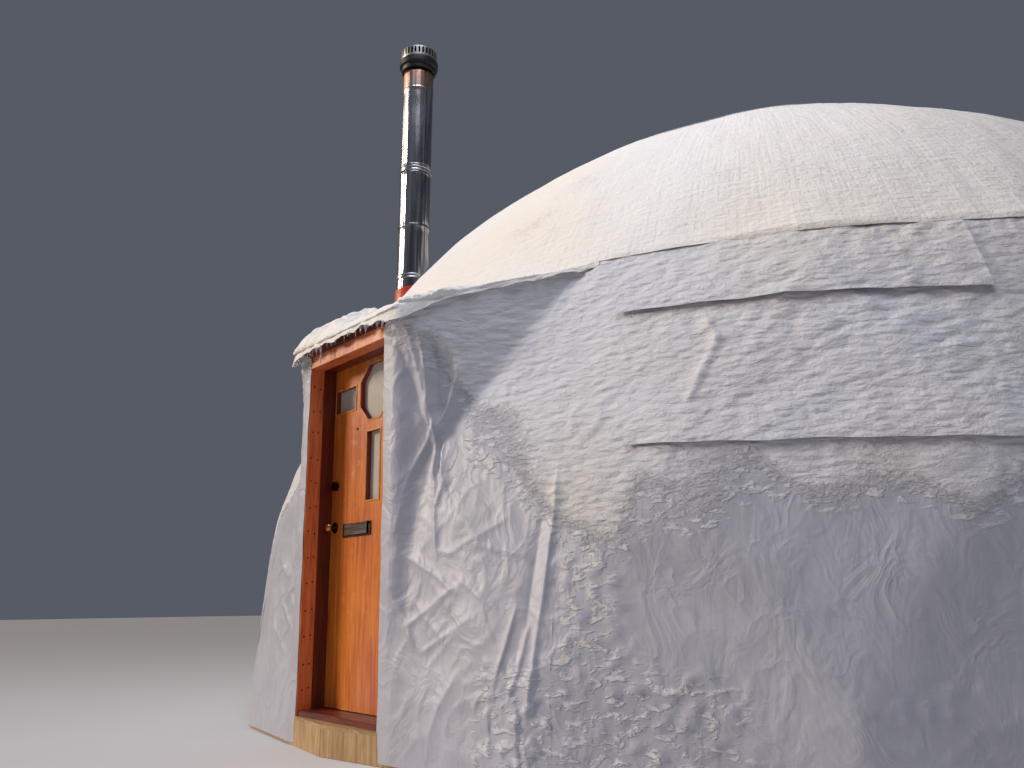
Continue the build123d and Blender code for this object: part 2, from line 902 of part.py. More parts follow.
def chimney_cap():
    """Collar, flange, slotted drum and lid on the flue's top."""
    bore = pipe_diameter - 2 * pipe_wall
    collar_bottom = pipe_top + seat
    flange_bottom = collar_bottom + collar_height
    drum_bottom = flange_bottom + flange_height
    collar = chimney_piece(collar_bottom, collar_height, collar_diameter, bore)
    flange = chimney_piece(flange_bottom, flange_height, flange_diameter, bore)
    drum = chimney_piece(drum_bottom, cap_height, cap_diameter, cap_diameter - 2 * band_thickness)
    lid = chimney_piece(drum_bottom + cap_height, band_thickness, cap_diameter)
    slot_middle = drum_bottom - pipe_bottom + cap_slot_rise + cap_slot_height / 2
    slots = [
        CHIMNEY_LINE * Pos(Z=slot_middle) * Rot(Z=180 / cap_slot_pairs * k)
        * Box(2 * cap_diameter, cap_slot_width, cap_slot_height)
        for k in range(cap_slot_pairs)
    ]
    return [(collar + flange + (drum - slots) + lid).solid()]


def chimney_boot():
    """Rubber boot: a flange that lies on the cover and a sleeve up the flue's lower side.

    The sleeve's top edge tilts a little with the roof, and runs into the flange on the upper side.
    """
    bore = pipe_diameter + 2 * seat
    bottom = flue_place.Z - boot_drop
    below_top = (
        CHIMNEY_LINE * Pos(Z=pipe_drop + boot_rise) * Rot(Z=chimney_turn) * Rot(X=boot_tilt)
        * Pos(Z=-boot_drop) * Box(2 * boot_diameter, 2 * boot_diameter, 2 * boot_drop)
    )
    sleeve = chimney_piece(bottom, 2 * boot_drop, bore + 2 * boot_thickness, bore) & below_top
    disc = chimney_piece(bottom, 2 * boot_drop, boot_diameter, bore)
    reach = math.atan(2 * boot_diameter / cover_outer)
    aim = (flue_place - CENTRE).normalized()
    polygons = []
    for t in PANELS:
        if any(HUBS[n].dot(aim) > math.cos(reach + strut_turn()) for n in t):
            polygons.append([cover_point(n) for n in t])
    grown = (cover_outer + 2 * seat) / cover_inner
    flange_outer = (cover_outer + 2 * seat + boot_thickness) / cover_inner
    flange = disc & sheet_solid(polygons, grown, flange_outer)
    inside = sheet_solid(polygons, 0.8, grown)
    band_place = chimney_piece(
        flue_place.Z + lower_band_rise - seat, band_width + 2 * seat, bore + 2 * band_thickness + 2 * seat
    )
    boot = flange + (sleeve - inside) - band_place
    return [boot.solids().sort_by(SortBy.VOLUME)[-1]]


def strut_turn():
    """Angle at the sphere's centre that the longest strut spans, in radians."""
    longest = max((HUBS[a] - HUBS[b]).length for a, b in STRUTS)
    return 2 * math.asin(longest / 2)


def clipped(polygon, origin, normal):
    """The part of a flat polygon on the side of a plane that its normal points to."""
    kept = []
    for a, b in zip(polygon, polygon[1:] + polygon[:1]):
        da = (a - origin).dot(normal)
        db = (b - origin).dot(normal)
        if da >= 0:
            kept.append(a)
        if da * db < 0:
            kept.append(a + (b - a) * (da / (da - db)))
    return kept


def cover_patch(left_turn, right_turn, hem, top):
    """Flap that follows the cover's facets between two turns and two heights."""
    left = math.radians(left_turn)
    right = math.radians(right_turn)
    low = Vector(0, 0, hem - centre_height)
    high = Vector(0, 0, top - centre_height)
    cuts = [
        (Vector(0, 0, 0), Vector(math.cos(left), math.sin(left), 0)),
        (Vector(0, 0, 0), Vector(-math.cos(right), -math.sin(right), 0)),
        (low, Vector(0, 0, 1)),
        (high, Vector(0, 0, -1)),
    ]
    polygons = []
    for t in PANELS:
        polygon = [cover_point(n) for n in t]
        for origin, normal in cuts:
            if polygon:
                polygon = clipped(polygon, origin, normal)
        if len(polygon) > 2:
            polygons.append(polygon)
    inner = (cover_outer + seat) / cover_inner
    outer = (cover_outer + seat + flap_thickness) / cover_inner
    return sheet_solid(polygons, inner, outer)


def window_flaps():
    """Upper and lower weather flaps over the side window."""
    return [
        cover_patch(upper_flap_turn, flap_end_turn, upper_flap_hem, upper_flap_top),
        cover_patch(lower_flap_turn, flap_end_turn, lower_flap_hem, lower_flap_top),
    ]


def flue_hole(solid):
    """A sheet of the cover with the round hole that the flue stands in."""
    hole = chimney_piece(pipe_bottom, 2 * pipe_drop, pipe_diameter + 8 * band_thickness)
    return (solid - hole).solid()


def wall_covers():
    """The six wall sheets by name, right round from one side of the doorway to the other."""
    span = 3 * base_turn
    names = ["front_right", "right", "back_right", "back_left", "left", "front_left"]
    return {
        f"wall_cover_{name}": wall_cover(base_turn + span * k, base_turn + span * (k + 1))
        for k, name in enumerate(names)
    }


def roof_covers():
    """The five roof sheets by name, the one over the doorway with the flue's hole."""
    names = ["front", "front_right", "back_right", "back_left", "front_left"]
    sheets = {
        f"roof_cover_{name}": [roof_cover(PRIMARY_TURN * (k - 0.5))]
        for k, name in enumerate(names)
    }
    sheets["roof_cover_front"] = [flue_hole(sheets["roof_cover_front"][0])]
    return sheets


def parts():
    """Every node's solids by name."""
    nodes = {
        "platform_rim": platform_rim(),
        "floor_joists": floor_joists(),
        "floor_deck": floor_deck(),
        "base_curb": base_curb(),
        "base_ring_frame": frame_band([0]),
        "lower_wall_frame": frame_band([1]),
        "upper_wall_frame": frame_band([2]),
        "roof_frame": frame_band([3, 4]),
        "crown_frame": frame_band([5, 6]),
        "doorway_struts": doorway_struts(),
        **wall_covers(),
        "doorway_cover_right": doorway_cover_side(1),
        "doorway_cover_left": doorway_cover_side(-1),
        "doorway_roof_cover": doorway_roof_cover(),
        "crown_cover": crown_cover(),
        "rough_frame": rough_frame(),
        "surround_boards": surround_boards(),
        "door_jamb": door_jamb(),
        "threshold": threshold(),
        "fascia_board": fascia_board(),
        "door_leaf": door_leaf(),
        "window_panes": window_panes(),
        "window_beads": window_beads(),
        "mail_slot_plate": mail_slot_plate(),
        "mail_flap": mail_flap(),
        "door_knob": door_knob(),
        "door_furniture": door_furniture(),
        "hinges_on_leaf": hinges(True),
        "hinges_on_jamb": hinges(False),
        "chimney_pipe": chimney_pipe(),
        "chimney_bands": chimney_bands(),
        "chimney_cap": chimney_cap(),
        "chimney_boot": chimney_boot(),
        "window_flaps": window_flaps(),
        **roof_covers(),
    }
    return nodes


os.makedirs("parts", exist_ok=True)
for name, solids in parts().items():
    flat = [s for piece in solids for s in piece.solids()]
    shape = flat[0] if len(flat) == 1 else Compound(children=flat)
    shape.label = name
    export_step(shape, f"parts/{name}.step")
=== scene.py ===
"""Looks of a fabric-covered geodesic dome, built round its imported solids.

Metres, in the solids' own frame: the origin is on the ground at the dome's axis, +Z is up and
the door faces -Y. A turn is measured about the axis from the door toward +X, in degrees.
"""

import logging
import math
from dataclasses import dataclass, field
from enum import Enum
from typing import Any, Callable, Sequence

import bmesh
import bpy
import numpy as np
from mathutils import Matrix, Vector


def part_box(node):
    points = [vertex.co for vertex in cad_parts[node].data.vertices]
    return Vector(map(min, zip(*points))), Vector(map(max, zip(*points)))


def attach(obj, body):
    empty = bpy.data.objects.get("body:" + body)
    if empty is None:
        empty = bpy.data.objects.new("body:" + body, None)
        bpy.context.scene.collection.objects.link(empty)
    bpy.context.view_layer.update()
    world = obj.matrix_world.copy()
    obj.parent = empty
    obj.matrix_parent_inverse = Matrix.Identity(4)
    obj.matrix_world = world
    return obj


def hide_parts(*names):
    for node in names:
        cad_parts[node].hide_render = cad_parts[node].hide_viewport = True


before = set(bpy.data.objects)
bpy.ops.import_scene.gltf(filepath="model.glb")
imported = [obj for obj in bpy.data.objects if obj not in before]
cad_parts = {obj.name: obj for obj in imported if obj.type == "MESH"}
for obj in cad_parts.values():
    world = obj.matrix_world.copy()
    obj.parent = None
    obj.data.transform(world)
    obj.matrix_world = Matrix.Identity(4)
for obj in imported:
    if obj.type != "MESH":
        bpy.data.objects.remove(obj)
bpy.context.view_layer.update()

LOG = logging.getLogger("dome")
Array = np.ndarray
Colour = tuple[float, float, float]

SHELL = "building"
CENTRE_Z = 0.3183
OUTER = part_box("crown_cover")[1].z - CENTRE_Z
FLUE_FOOT = np.array([-1.19634, -3.19467, 2.64216])
FLUE_LEAN = math.radians(1.5)
FLUE_AXIS = np.array([math.sin(FLUE_LEAN), 0.0, math.cos(FLUE_LEAN)])
WALL_ARC = 4.36
ROOF_ARC = 4.4
FRONT_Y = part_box("surround_boards")[0].y
BOARD_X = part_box("surround_boards")[1].x
LEAF_LOW, LEAF_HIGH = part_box("door_leaf")


def srgb(red: int, green: int, blue: int) -> Colour:
    """Linear colour of a screen colour.

    Args:
        red: from 0 to 255.
        green: from 0 to 255.
        blue: from 0 to 255.

    Returns:
        The linear colour.
    """
    scaled = np.array([red, green, blue], float) / 255.0
    linear = np.where(scaled <= 0.04045, scaled / 12.92, ((scaled + 0.055) / 1.055) ** 2.4)
    return tuple(float(c) for c in linear)


# Shader helpers


class Value:
    """A shader socket that takes part in arithmetic, each step being one Math node."""

    def __init__(self, tree: bpy.types.NodeTree, socket: bpy.types.NodeSocket) -> None:
        """Wraps a socket of a tree."""
        self.tree = tree
        self.socket = socket

    def maths(self, operation: str, *terms: Any) -> "Value":
        """Adds a Math node.

        Args:
            operation: the node's operation.
            terms: its inputs in order, sockets or plain numbers.

        Returns:
            The node's result.
        """
        node = self.tree.nodes.new("ShaderNodeMath")
        node.operation = operation
        for slot, term in zip(node.inputs, terms):
            if isinstance(term, Value):
                self.tree.links.new(term.socket, slot)
            else:
                slot.default_value = float(term)
        return Value(self.tree, node.outputs[0])

    def __add__(self, other: Any) -> "Value":
        """Sum."""
        return self.maths("ADD", self, other)

    __radd__ = __add__

    def __mul__(self, other: Any) -> "Value":
        """Product."""
        return self.maths("MULTIPLY", self, other)

    __rmul__ = __mul__

    def __sub__(self, other: Any) -> "Value":
        """Difference."""
        return self.maths("SUBTRACT", self, other)

    def __rsub__(self, other: Any) -> "Value":
        """Difference from a number."""
        return self.maths("SUBTRACT", other, self)

    def size(self) -> "Value":
        """Absolute value."""
        return self.maths("ABSOLUTE", self)

    def larger(self, other: Any) -> "Value":
        """The larger of the two."""
        return self.maths("MAXIMUM", self, other)

    def sine(self) -> "Value":
        """Sine of the value in radians."""
        return self.maths("SINE", self)


class Bench:
    """Builds one material's nodes."""

    def __init__(self, name: str) -> None:
        """Starts an empty material.

        Args:
            name: the material's name.
        """
        self.material = bpy.data.materials.new(name)
        self.material.use_nodes = True
        self.tree = self.material.node_tree
        self.tree.nodes.clear()
        self._object: Value | None = None

    def node(
        self, kind: str, settings: dict[str, Any], values: dict[Any, Any], output: Any = 0
    ) -> Value:
        """Adds any node.

        Args:
            kind: the node's type without its prefix.
            settings: its own properties, which are set first.
            values: numbers, colours or links of its sockets, by name or number.
            output: name or number of the result.

        Returns:
            The chosen output.
        """
        node = self.tree.nodes.new("ShaderNode" + kind)
        for key, setting in settings.items():
            setattr(node, key, setting)
        for key, value in values.items():
            if isinstance(value, Value):
                self.tree.links.new(value.socket, node.inputs[key])
            elif isinstance(value, tuple) and node.inputs[key].type == "RGBA":
                node.inputs[key].default_value = (*value[:3], 1.0)
            else:
                node.inputs[key].default_value = value
        return Value(self.tree, node.outputs[output])

    def place(self, scale: Sequence[float] = (1, 1, 1)) -> Value:
        """Object coordinates.

        Args:
            scale: how often the pattern repeats along each axis.

        Returns:
            The stretched coordinates.
        """
        if self._object is None:
            self._object = self.node("TexCoord", {}, {}, "Object")
        return self.node("Mapping", {}, {"Vector": self._object, "Scale": tuple(scale)})

    def sheet_place(self, scale: Sequence[float]) -> Value:
        """The sheet's own coordinates in metres, across and up, stretched."""
        own = self.node("UVMap", {"uv_map": "Sheet"}, {})
        return self.node("Mapping", {}, {"Vector": own, "Scale": (*scale, 1.0)})

    def axis(self, vector: Value, name: str) -> Value:
        """One part of a vector, X, Y or Z."""
        return self.node("SeparateXYZ", {}, {"Vector": vector}, name)

    def noise(
        self, place: Value, scale: float, detail: float = 3.0, rough: float = 0.5,
        warp: float = 0.0,
    ) -> Value:
        """Cloudy noise from about 0.3 to 0.7.

        Args:
            place: coordinates.
            scale: lumps in a unit of the coordinates.
            detail: number of finer layers.
            rough: share of the finer layers.
            warp: how far the lumps are drawn out of shape.

        Returns:
            The noise.
        """
        return self.node(
            "TexNoise", {},
            {"Vector": place, "Scale": scale, "Detail": detail, "Roughness": rough,
             "Distortion": warp},
        )

    def band(self, value: Value, low: float, high: float) -> Value:
        """A smooth rise.

        Args:
            value: the value.
            low: where the rise starts.
            high: where it ends.

        Returns:
            0 below low, 1 above high and a smooth step between.
        """
        return self.node(
            "MapRange", {"interpolation_type": "SMOOTHSTEP"},
            {"Value": value, "From Min": low, "From Max": high},
        )

    def blend(self, factor: Any, first: Any, second: Any) -> Value:
        """Colour between two colours.

        Args:
            factor: share of the second.
            first: the first colour.
            second: the second colour.

        Returns:
            The mixed colour.
        """
        return self.node(
            "Mix", {"data_type": "RGBA"}, {0: factor, 6: first, 7: second}, 2
        )

    def attribute(self, name: str) -> Value:
        """A number kept on the piece's vertices."""
        return self.node("Attribute", {"attribute_name": name}, {}, "Fac")

    def bump(self, height: Value, distance: float, under: Value | None = None) -> Value:
        """Normal of a relief.

        Args:
            height: the relief, in units of the distance.
            distance: metres for a height of 1.
            under: normal of a finer relief below it.

        Returns:
            The normal.
        """
        values: dict[str, Any] = {"Height": height, "Distance": distance, "Strength": 1.0}
        if under is not None:
            values["Normal"] = under
        return self.node("Bump", {}, values)

    def finish(self, values: dict[str, Any]) -> bpy.types.Material:
        """Closes the material with a Principled surface.

        Args:
            values: numbers, colours or links of the surface's sockets.

        Returns:
            The material.
        """
        shader = self.node("BsdfPrincipled", {}, values, "BSDF")
        output = self.tree.nodes.new("ShaderNodeOutputMaterial")
        self.tree.links.new(shader.socket, output.inputs["Surface"])
        return self.material


# Finishes


@dataclass(frozen=True)
class CoverFinish:
    """Coated fabric, smooth or under a crust of frozen snow."""

    name: str
    cloth: Colour = srgb(206, 205, 212)
    snow: Colour = srgb(232, 231, 234)
    warm: Colour = srgb(226, 219, 209)
    ripple: float = 1.0
    streak: float = 0.0
    crumple: float = 1.0

    def material(self) -> bpy.types.Material:
        """Scaly ripples and grains where the frost attribute is high, gloss where it is low.

        Returns:
            The material.
        """
        bench = Bench(self.name)
        frost = bench.attribute("frost")
        wander = bench.noise(bench.sheet_place((2.2, 2.2)), 1.0, 3.0, 0.5)
        grain = bench.noise(bench.place((1, 1, 1.7)), 34.0, 5.0, 0.62, 0.4)
        across = bench.noise(bench.sheet_place((3.0, 7.0)), 1.0, 2.0, 0.5)
        warped = bench.node("VectorMath", {"operation": "ADD"}, {
            0: bench.sheet_place((12.0, 33.0)),
            1: bench.node("CombineXYZ", {}, {"X": across * 1.6, "Y": wander * 2.4}),
        })
        scales = bench.node(
            "TexVoronoi", {"feature": "SMOOTH_F1"},
            {"Vector": warped, "Scale": 1.0, "Smoothness": 0.6, "Randomness": 1.0},
        )
        ripple = bench.noise(bench.sheet_place((9.0, 26.0)), 1.0, 4.0, 0.6, 0.5)
        fine = bench.noise(bench.place((1, 1, 1.5)), 90.0, 4.0, 0.6, 0.3)
        clots = bench.band(
            bench.noise(bench.sheet_place((13.0, 27.0)), 1.0, 4.0, 0.55, 0.3), 0.50, 0.64
        )
        drips = bench.noise(bench.sheet_place((46.0, 2.2)), 1.0, 3.0, 0.5)
        cover = bench.band(frost + (grain - 0.5) * 0.6 + (wander - 0.5) * 0.5, 0.34, 0.74)
        sparse = bench.band(frost, 0.10, 0.25) * (1.0 - cover) * clots
        snowy = cover.larger(sparse)
        folds = bench.noise(bench.sheet_place((8.0, 2.6)), 1.0, 4.0, 0.5, 2.2)
        crinkle = 1.0 - (bench.noise(bench.sheet_place((5.0, 4.2)), 1.0, 3.0, 0.5, 1.0) - 0.5
                         ).size() * 6.0
        height = (
            cover * ((0.6 - scales * 0.6) * self.ripple + ripple * self.ripple * 0.7
                     + grain * 0.38 + fine * 0.14)
            + sparse * (0.22 + grain * 0.20)
            + drips * (self.streak * 0.25)
            + (1.0 - cover) * (folds * 0.20 + crinkle.larger(0.0) * 0.15) * self.crumple
        )
        weave = bench.noise(bench.place(), 420.0, 2.0, 0.5)
        under = bench.bump(weave, 0.0010)
        tint = bench.blend(bench.band(bench.noise(bench.place(), 0.9, 3.0), 0.35, 0.7),
                           self.snow, self.warm)
        grey = bench.blend(bench.band(bench.noise(bench.place(), 2.6, 4.0), 0.3, 0.75),
                           self.cloth, tuple(c * 0.84 for c in self.cloth))
        return bench.finish({
            "Base Color": bench.blend(snowy, grey, tint),
            "Roughness": 0.40 + snowy * 0.30 + (folds - 0.5) * 0.16,
            "Normal": bench.bump(height, 0.020, under),
            "Specular IOR Level": 0.5,
        })


@dataclass(frozen=True)
class WoodFinish:
    """Wood whose grain runs along one axis."""

    name: str
    pale: Colour
    dark: Colour
    along: tuple[float, float, float] = (1.0, 1.0, 0.07)
    roughness: float = 0.5
    coat: float = 0.0
    grain_scale: float = 42.0
    reveal_shade: Colour | None = None

    def material(self) -> bpy.types.Material:
        """Stretched noise for grain, broad stain, and where asked painted shade: a darker red on the
        cut reveals, the faces that point neither front nor back.

        Returns:
            The material.
        """
        bench = Bench(self.name)
        grain = bench.noise(bench.place(self.along), self.grain_scale, 6.0, 0.62, 0.8)
        fine = bench.noise(bench.place(self.along), self.grain_scale * 5.0, 3.0, 0.6)
        broad = bench.noise(bench.place((1, 1, 0.5)), 3.1, 3.0, 0.5)
        mix = bench.band(grain * 0.75 + broad * 0.35 + fine * 0.12, 0.44, 0.78)
        colour = bench.blend(mix, self.pale, self.dark)
        # Painted shade: faces whose normal lies far from the Y axis, the reveals of the cut-outs,
        # take the darker reveal colour.
        if self.reveal_shade is not None:
            normal = bench.node("TexCoord", {}, {}, "Normal")
            side = 1.0 - bench.band(bench.axis(normal, "Y").size(), 0.4, 0.7)
            colour = bench.blend(side, colour, self.reveal_shade)
        scuff = bench.band(bench.noise(bench.place(), 17.0, 5.0, 0.65), 0.52, 0.7)
        return bench.finish({
            "Base Color": colour,
            "Roughness": self.roughness + (scuff - 0.5) * 0.16,
            "Coat Weight": self.coat,
            "Coat Roughness": 0.22,
            "Normal": bench.bump(grain * 0.6 + fine * 0.4, 0.0016),
        })


@dataclass(frozen=True)
class MetalFinish:
    """Metal with brushed streaks and stains."""

    name: str
    base: Colour
    stain: Colour
    metallic: float = 1.0
    roughness: float = 0.3
    spread: float = 0.15
    streaks: tuple[float, float, float] = (1.0, 1.0, 0.05)
    streak_scale: float = 60.0

    def material(self) -> bpy.types.Material:
        """Streaked noise in the roughness, cloudy noise in the colour.

        Returns:
            The material.
        """
        bench = Bench(self.name)
        lines = bench.noise(bench.place(self.streaks), self.streak_scale, 4.0, 0.6)
        blotch = bench.band(bench.noise(bench.place(), 9.0, 5.0, 0.6), 0.42, 0.68)
        return bench.finish({
            "Base Color": bench.blend(blotch * 0.6, self.base, self.stain),
            "Metallic": self.metallic,
            "Roughness": self.roughness + (lines - 0.5) * self.spread * 2.0 + blotch * 0.08,
            "Normal": bench.bump(lines, 0.0006),
        })


@dataclass(frozen=True)
class HeatTintFinish:
    """Bright steel that turns straw and brown toward the hot top of the flue."""

    name: str
    steel: Colour = srgb(214, 212, 212)
    dark: Colour = srgb(72, 72, 82)
    straw: Colour = srgb(160, 112, 88)
    soot: Colour = srgb(40, 34, 40)
    hot: float = 5.14

    def material(self) -> bpy.types.Material:
        """Tint by height, with upright streaks of light and dark in colour and gloss.

        Returns:
            The material.
        """
        bench = Bench(self.name)
        height = bench.axis(bench.place(), "Z")
        wander = bench.noise(bench.place((6, 6, 0.35)), 2.2, 4.0, 0.6)
        heat = bench.band(height + (wander - 0.5) * 0.5, self.hot - 0.26, self.hot + 0.02)
        burnt = bench.band(height + (wander - 0.5) * 0.16, self.hot - 0.01, self.hot + 0.07)
        lines = bench.noise(bench.place((1, 1, 0.010)), 55.0, 3.0, 0.6)
        broad = bench.noise(bench.place((1, 1, 0.030)), 15.0, 3.0, 0.6, 0.3)
        streak = bench.band(lines * 0.55 + broad * 0.6, 0.46, 0.68)
        smudge = bench.band(bench.noise(bench.place((1, 1, 0.3)), 6.0, 5.0, 0.6), 0.5, 0.75)
        base = bench.blend(streak * 0.85, self.steel, self.dark)
        aged = bench.blend(smudge * 0.3, base, tuple(c * 0.5 for c in self.steel))
        warm = bench.blend(heat * 0.8, aged, self.straw)
        return bench.finish({
            "Base Color": bench.blend(burnt * 0.9, warm, self.soot),
            "Metallic": 1.0,
            "Roughness": 0.14 + smudge * 0.14 + streak * 0.12 + heat * 0.18,
            "Normal": bench.bump(lines, 0.0012),
        })


@dataclass(frozen=True)
class ReededGlassFinish:
    """Pale obscured glass with upright reeds and a milky back."""

    name: str
    pale: Colour = srgb(240, 236, 222)
    grey: Colour = srgb(158, 148, 138)

    def material(self) -> bpy.types.Material:
        """A milky surface under a clear coat, with painted shading that lightens and darkens along
        the reeds and a little random haze.

        Returns:
            The material.
        """
        bench = Bench(self.name)
        across = bench.axis(bench.place(), "X")
        reed = (across * (2.0 * math.pi / 0.0125)).sine() * 0.5 + 0.5
        haze = bench.noise(bench.place((1, 1, 0.4)), 7.0, 3.0, 0.5)
        return bench.finish({
            # Painted shading: the colour follows the reeds' sine, as light and shade across each
            # reed.
            "Base Color": bench.blend(reed * 0.5 + haze * 0.2, self.pale, self.grey),
            "Roughness": 0.14 + haze * 0.1,
            "Transmission Weight": 0.08,
            "IOR": 1.5,
            "Normal": bench.bump(reed, 0.0025),
        })


@dataclass(frozen=True)
class IceFinish:
    """Clear to milky ice."""

    name: str
    tint: Colour = srgb(214, 222, 232)

    def material(self) -> bpy.types.Material:
        """Transmissive surface with a rippled relief.

        Returns:
            The material.
        """
        bench = Bench(self.name)
        wave = bench.noise(bench.place((1, 1, 2.5)), 60.0, 3.0, 0.5)
        return bench.finish({
            "Base Color": bench.blend(wave, self.tint, srgb(240, 243, 247)),
            "Roughness": 0.08 + wave * 0.1,
            "Transmission Weight": 0.7,
            "IOR": 1.31,
            "Normal": bench.bump(wave, 0.002),
        })


@dataclass(frozen=True)
class RubberFinish:
    """Red silicone with dust in its relief."""

    name: str
    base: Colour = srgb(196, 44, 18)
    dull: Colour = srgb(140, 52, 36)

    def material(self) -> bpy.types.Material:
        """Cloudy fading and a matt relief.

        Returns:
            The material.
        """
        bench = Bench(self.name)
        cloud = bench.noise(bench.place(), 14.0, 5.0, 0.6)
        return bench.finish({
            "Base Color": bench.blend(bench.band(cloud, 0.42, 0.72), self.base, self.dull),
            "Roughness": 0.5 + (cloud - 0.5) * 0.3,
            "Normal": bench.bump(cloud, 0.003),
        })


@dataclass(frozen=True)
class FloorFinish:
    """Plain pale studio floor."""

    name: str
    tone: Colour = srgb(214, 214, 216)

    def material(self) -> bpy.types.Material:
        """An even tone with the faintest cloud.

        Returns:
            The material.
        """
        bench = Bench(self.name)
        cloud = bench.noise(bench.place(), 0.4, 2.0, 0.5)
        return bench.finish({
            "Base Color": bench.blend(cloud, self.tone, tuple(c * 0.95 for c in self.tone)),
            "Roughness": 0.8,
        })


class Look(Enum):
    """Named finishes of this building."""

    # Painted shade: the wall's copy of the cover fabric and snow is darker and bluer than the
    # roof's, standing in for the wall's shade.
    WALL = CoverFinish(
        "wall_cover_cloth_painted_shade", cloth=srgb(184, 184, 195), snow=srgb(212, 212, 219),
        warm=srgb(214, 209, 204), ripple=1.0,
    )
    ROOF = CoverFinish(
        "roof_cover_cloth", cloth=srgb(216, 214, 216), snow=srgb(238, 235, 233),
        warm=srgb(240, 232, 222), ripple=0.45, streak=1.0, crumple=0.3,
    )
    SNOW = CoverFinish(
        "eave_snow", cloth=srgb(236, 236, 238), snow=srgb(242, 241, 240),
        warm=srgb(244, 238, 230), ripple=0.5,
    )
    BOARD = WoodFinish(
        "stained_board", srgb(226, 132, 78), srgb(186, 92, 50), roughness=0.46, coat=0.15
    )
    # The jamb's stained wood, darkened to a deep red as painted shade of the doorway's recess.
    TRIM = WoodFinish(
        "dark_trim", srgb(118, 38, 18), srgb(70, 20, 9), roughness=0.45, coat=0.2
    )
    TRIM_ACROSS = WoodFinish(
        "dark_trim_across", srgb(126, 44, 26), srgb(74, 24, 14), along=(0.07, 1.0, 1.0),
        roughness=0.5,
    )
    # The reveal colour is painted shade on the inner faces of the door's cut-outs.
    DOOR = WoodFinish(
        "varnished_door", srgb(226, 134, 46), srgb(184, 86, 22), roughness=0.36, coat=0.4,
        grain_scale=30.0, reveal_shade=srgb(132, 36, 10),
    )
    # Lighter than the leaf: worn wood on the beads, with a painted highlight along the window edges.
    DOOR_EDGE = WoodFinish(
        "door_edging", srgb(226, 158, 78), srgb(186, 104, 38), roughness=0.35, coat=0.4
    )
    LUMBER = WoodFinish("raw_lumber", srgb(196, 164, 118), srgb(150, 112, 68), roughness=0.7)
    PLYWOOD = WoodFinish(
        "plywood_deck", srgb(190, 158, 112), srgb(146, 110, 70), along=(0.1, 1.0, 1.0),
        roughness=0.66,
    )
    TUBE = MetalFinish(
        "galvanised_tube", srgb(168, 172, 176), srgb(120, 124, 130), 0.85, 0.42, 0.12,
        (1.0, 1.0, 1.0), 24.0,
    )
    FLUE = HeatTintFinish("flue_steel")
    BAND = MetalFinish(
        "flue_band_steel", srgb(180, 180, 184), srgb(110, 104, 100), 1.0, 0.24, 0.1,
        (0.2, 0.2, 1.0), 60.0,
    )
    CAP = MetalFinish(
        "cap_galvanised", srgb(150, 148, 144), srgb(84, 78, 74), 0.9, 0.42, 0.14,
        (1.0, 1.0, 0.3), 30.0,
    )
    SOOT = MetalFinish(
        "soot_black", srgb(26, 26, 30), srgb(58, 52, 50), 0.5, 0.5, 0.1, (1.0, 1.0, 1.0), 18.0
    )
    BOOT = RubberFinish("silicone_boot")
    GLASS = ReededGlassFinish("reeded_glass")
    BRONZE = MetalFinish(
        "dark_bronze", srgb(44, 34, 30), srgb(84, 58, 40), 0.9, 0.38, 0.14, (0.05, 1.0, 1.0), 80.0
    )
    FLAP_METAL = MetalFinish(
        "flap_metal", srgb(104, 99, 92), srgb(46, 40, 35), 1.0, 0.3, 0.2, (0.04, 1.0, 1.0), 80.0
    )
    BRASS = MetalFinish(
        "worn_brass", srgb(196, 150, 84), srgb(96, 64, 34), 1.0, 0.28, 0.16, (1.0, 1.0, 1.0), 40.0
    )
    SCREW = MetalFinish(
        "screw_steel", srgb(66, 40, 30), srgb(34, 22, 18), 0.8, 0.45, 0.1, (1.0, 1.0, 1.0), 90.0
    )
    ICE = IceFinish("icicle_ice")
    FLOOR = FloorFinish("studio_floor")


_made: dict[Look, bpy.types.Material] = {}


def finish_of(look: Look) -> bpy.types.Material:
    """The material of a look, made once.

    Args:
        look: the look.

    Returns:
        Its material.
    """
    if look not in _made:
        _made[look] = look.value.material()
    return _made[look]


# Mesh helpers


def grid_quads(rows: int, columns: int, closed: bool = False) -> Array:
    """Four corners of each cell of a grid whose points run row by row.

    Args:
        rows: number of point rows.
        columns: number of points in a row.
        closed: whether the last column joins the first.

    Returns:
        Corner numbers, one row a cell, turning left seen from the side where rows rise upward
        and columns run right.
    """
    row, column = np.meshgrid(
        np.arange(rows - 1), np.arange(columns if closed else columns - 1), indexing="ij"
    )
    here = row * columns + column
    right = row * columns + (column + 1) % columns
    return np.stack([here, right, right + columns, here + columns], -1).reshape(-1, 4)


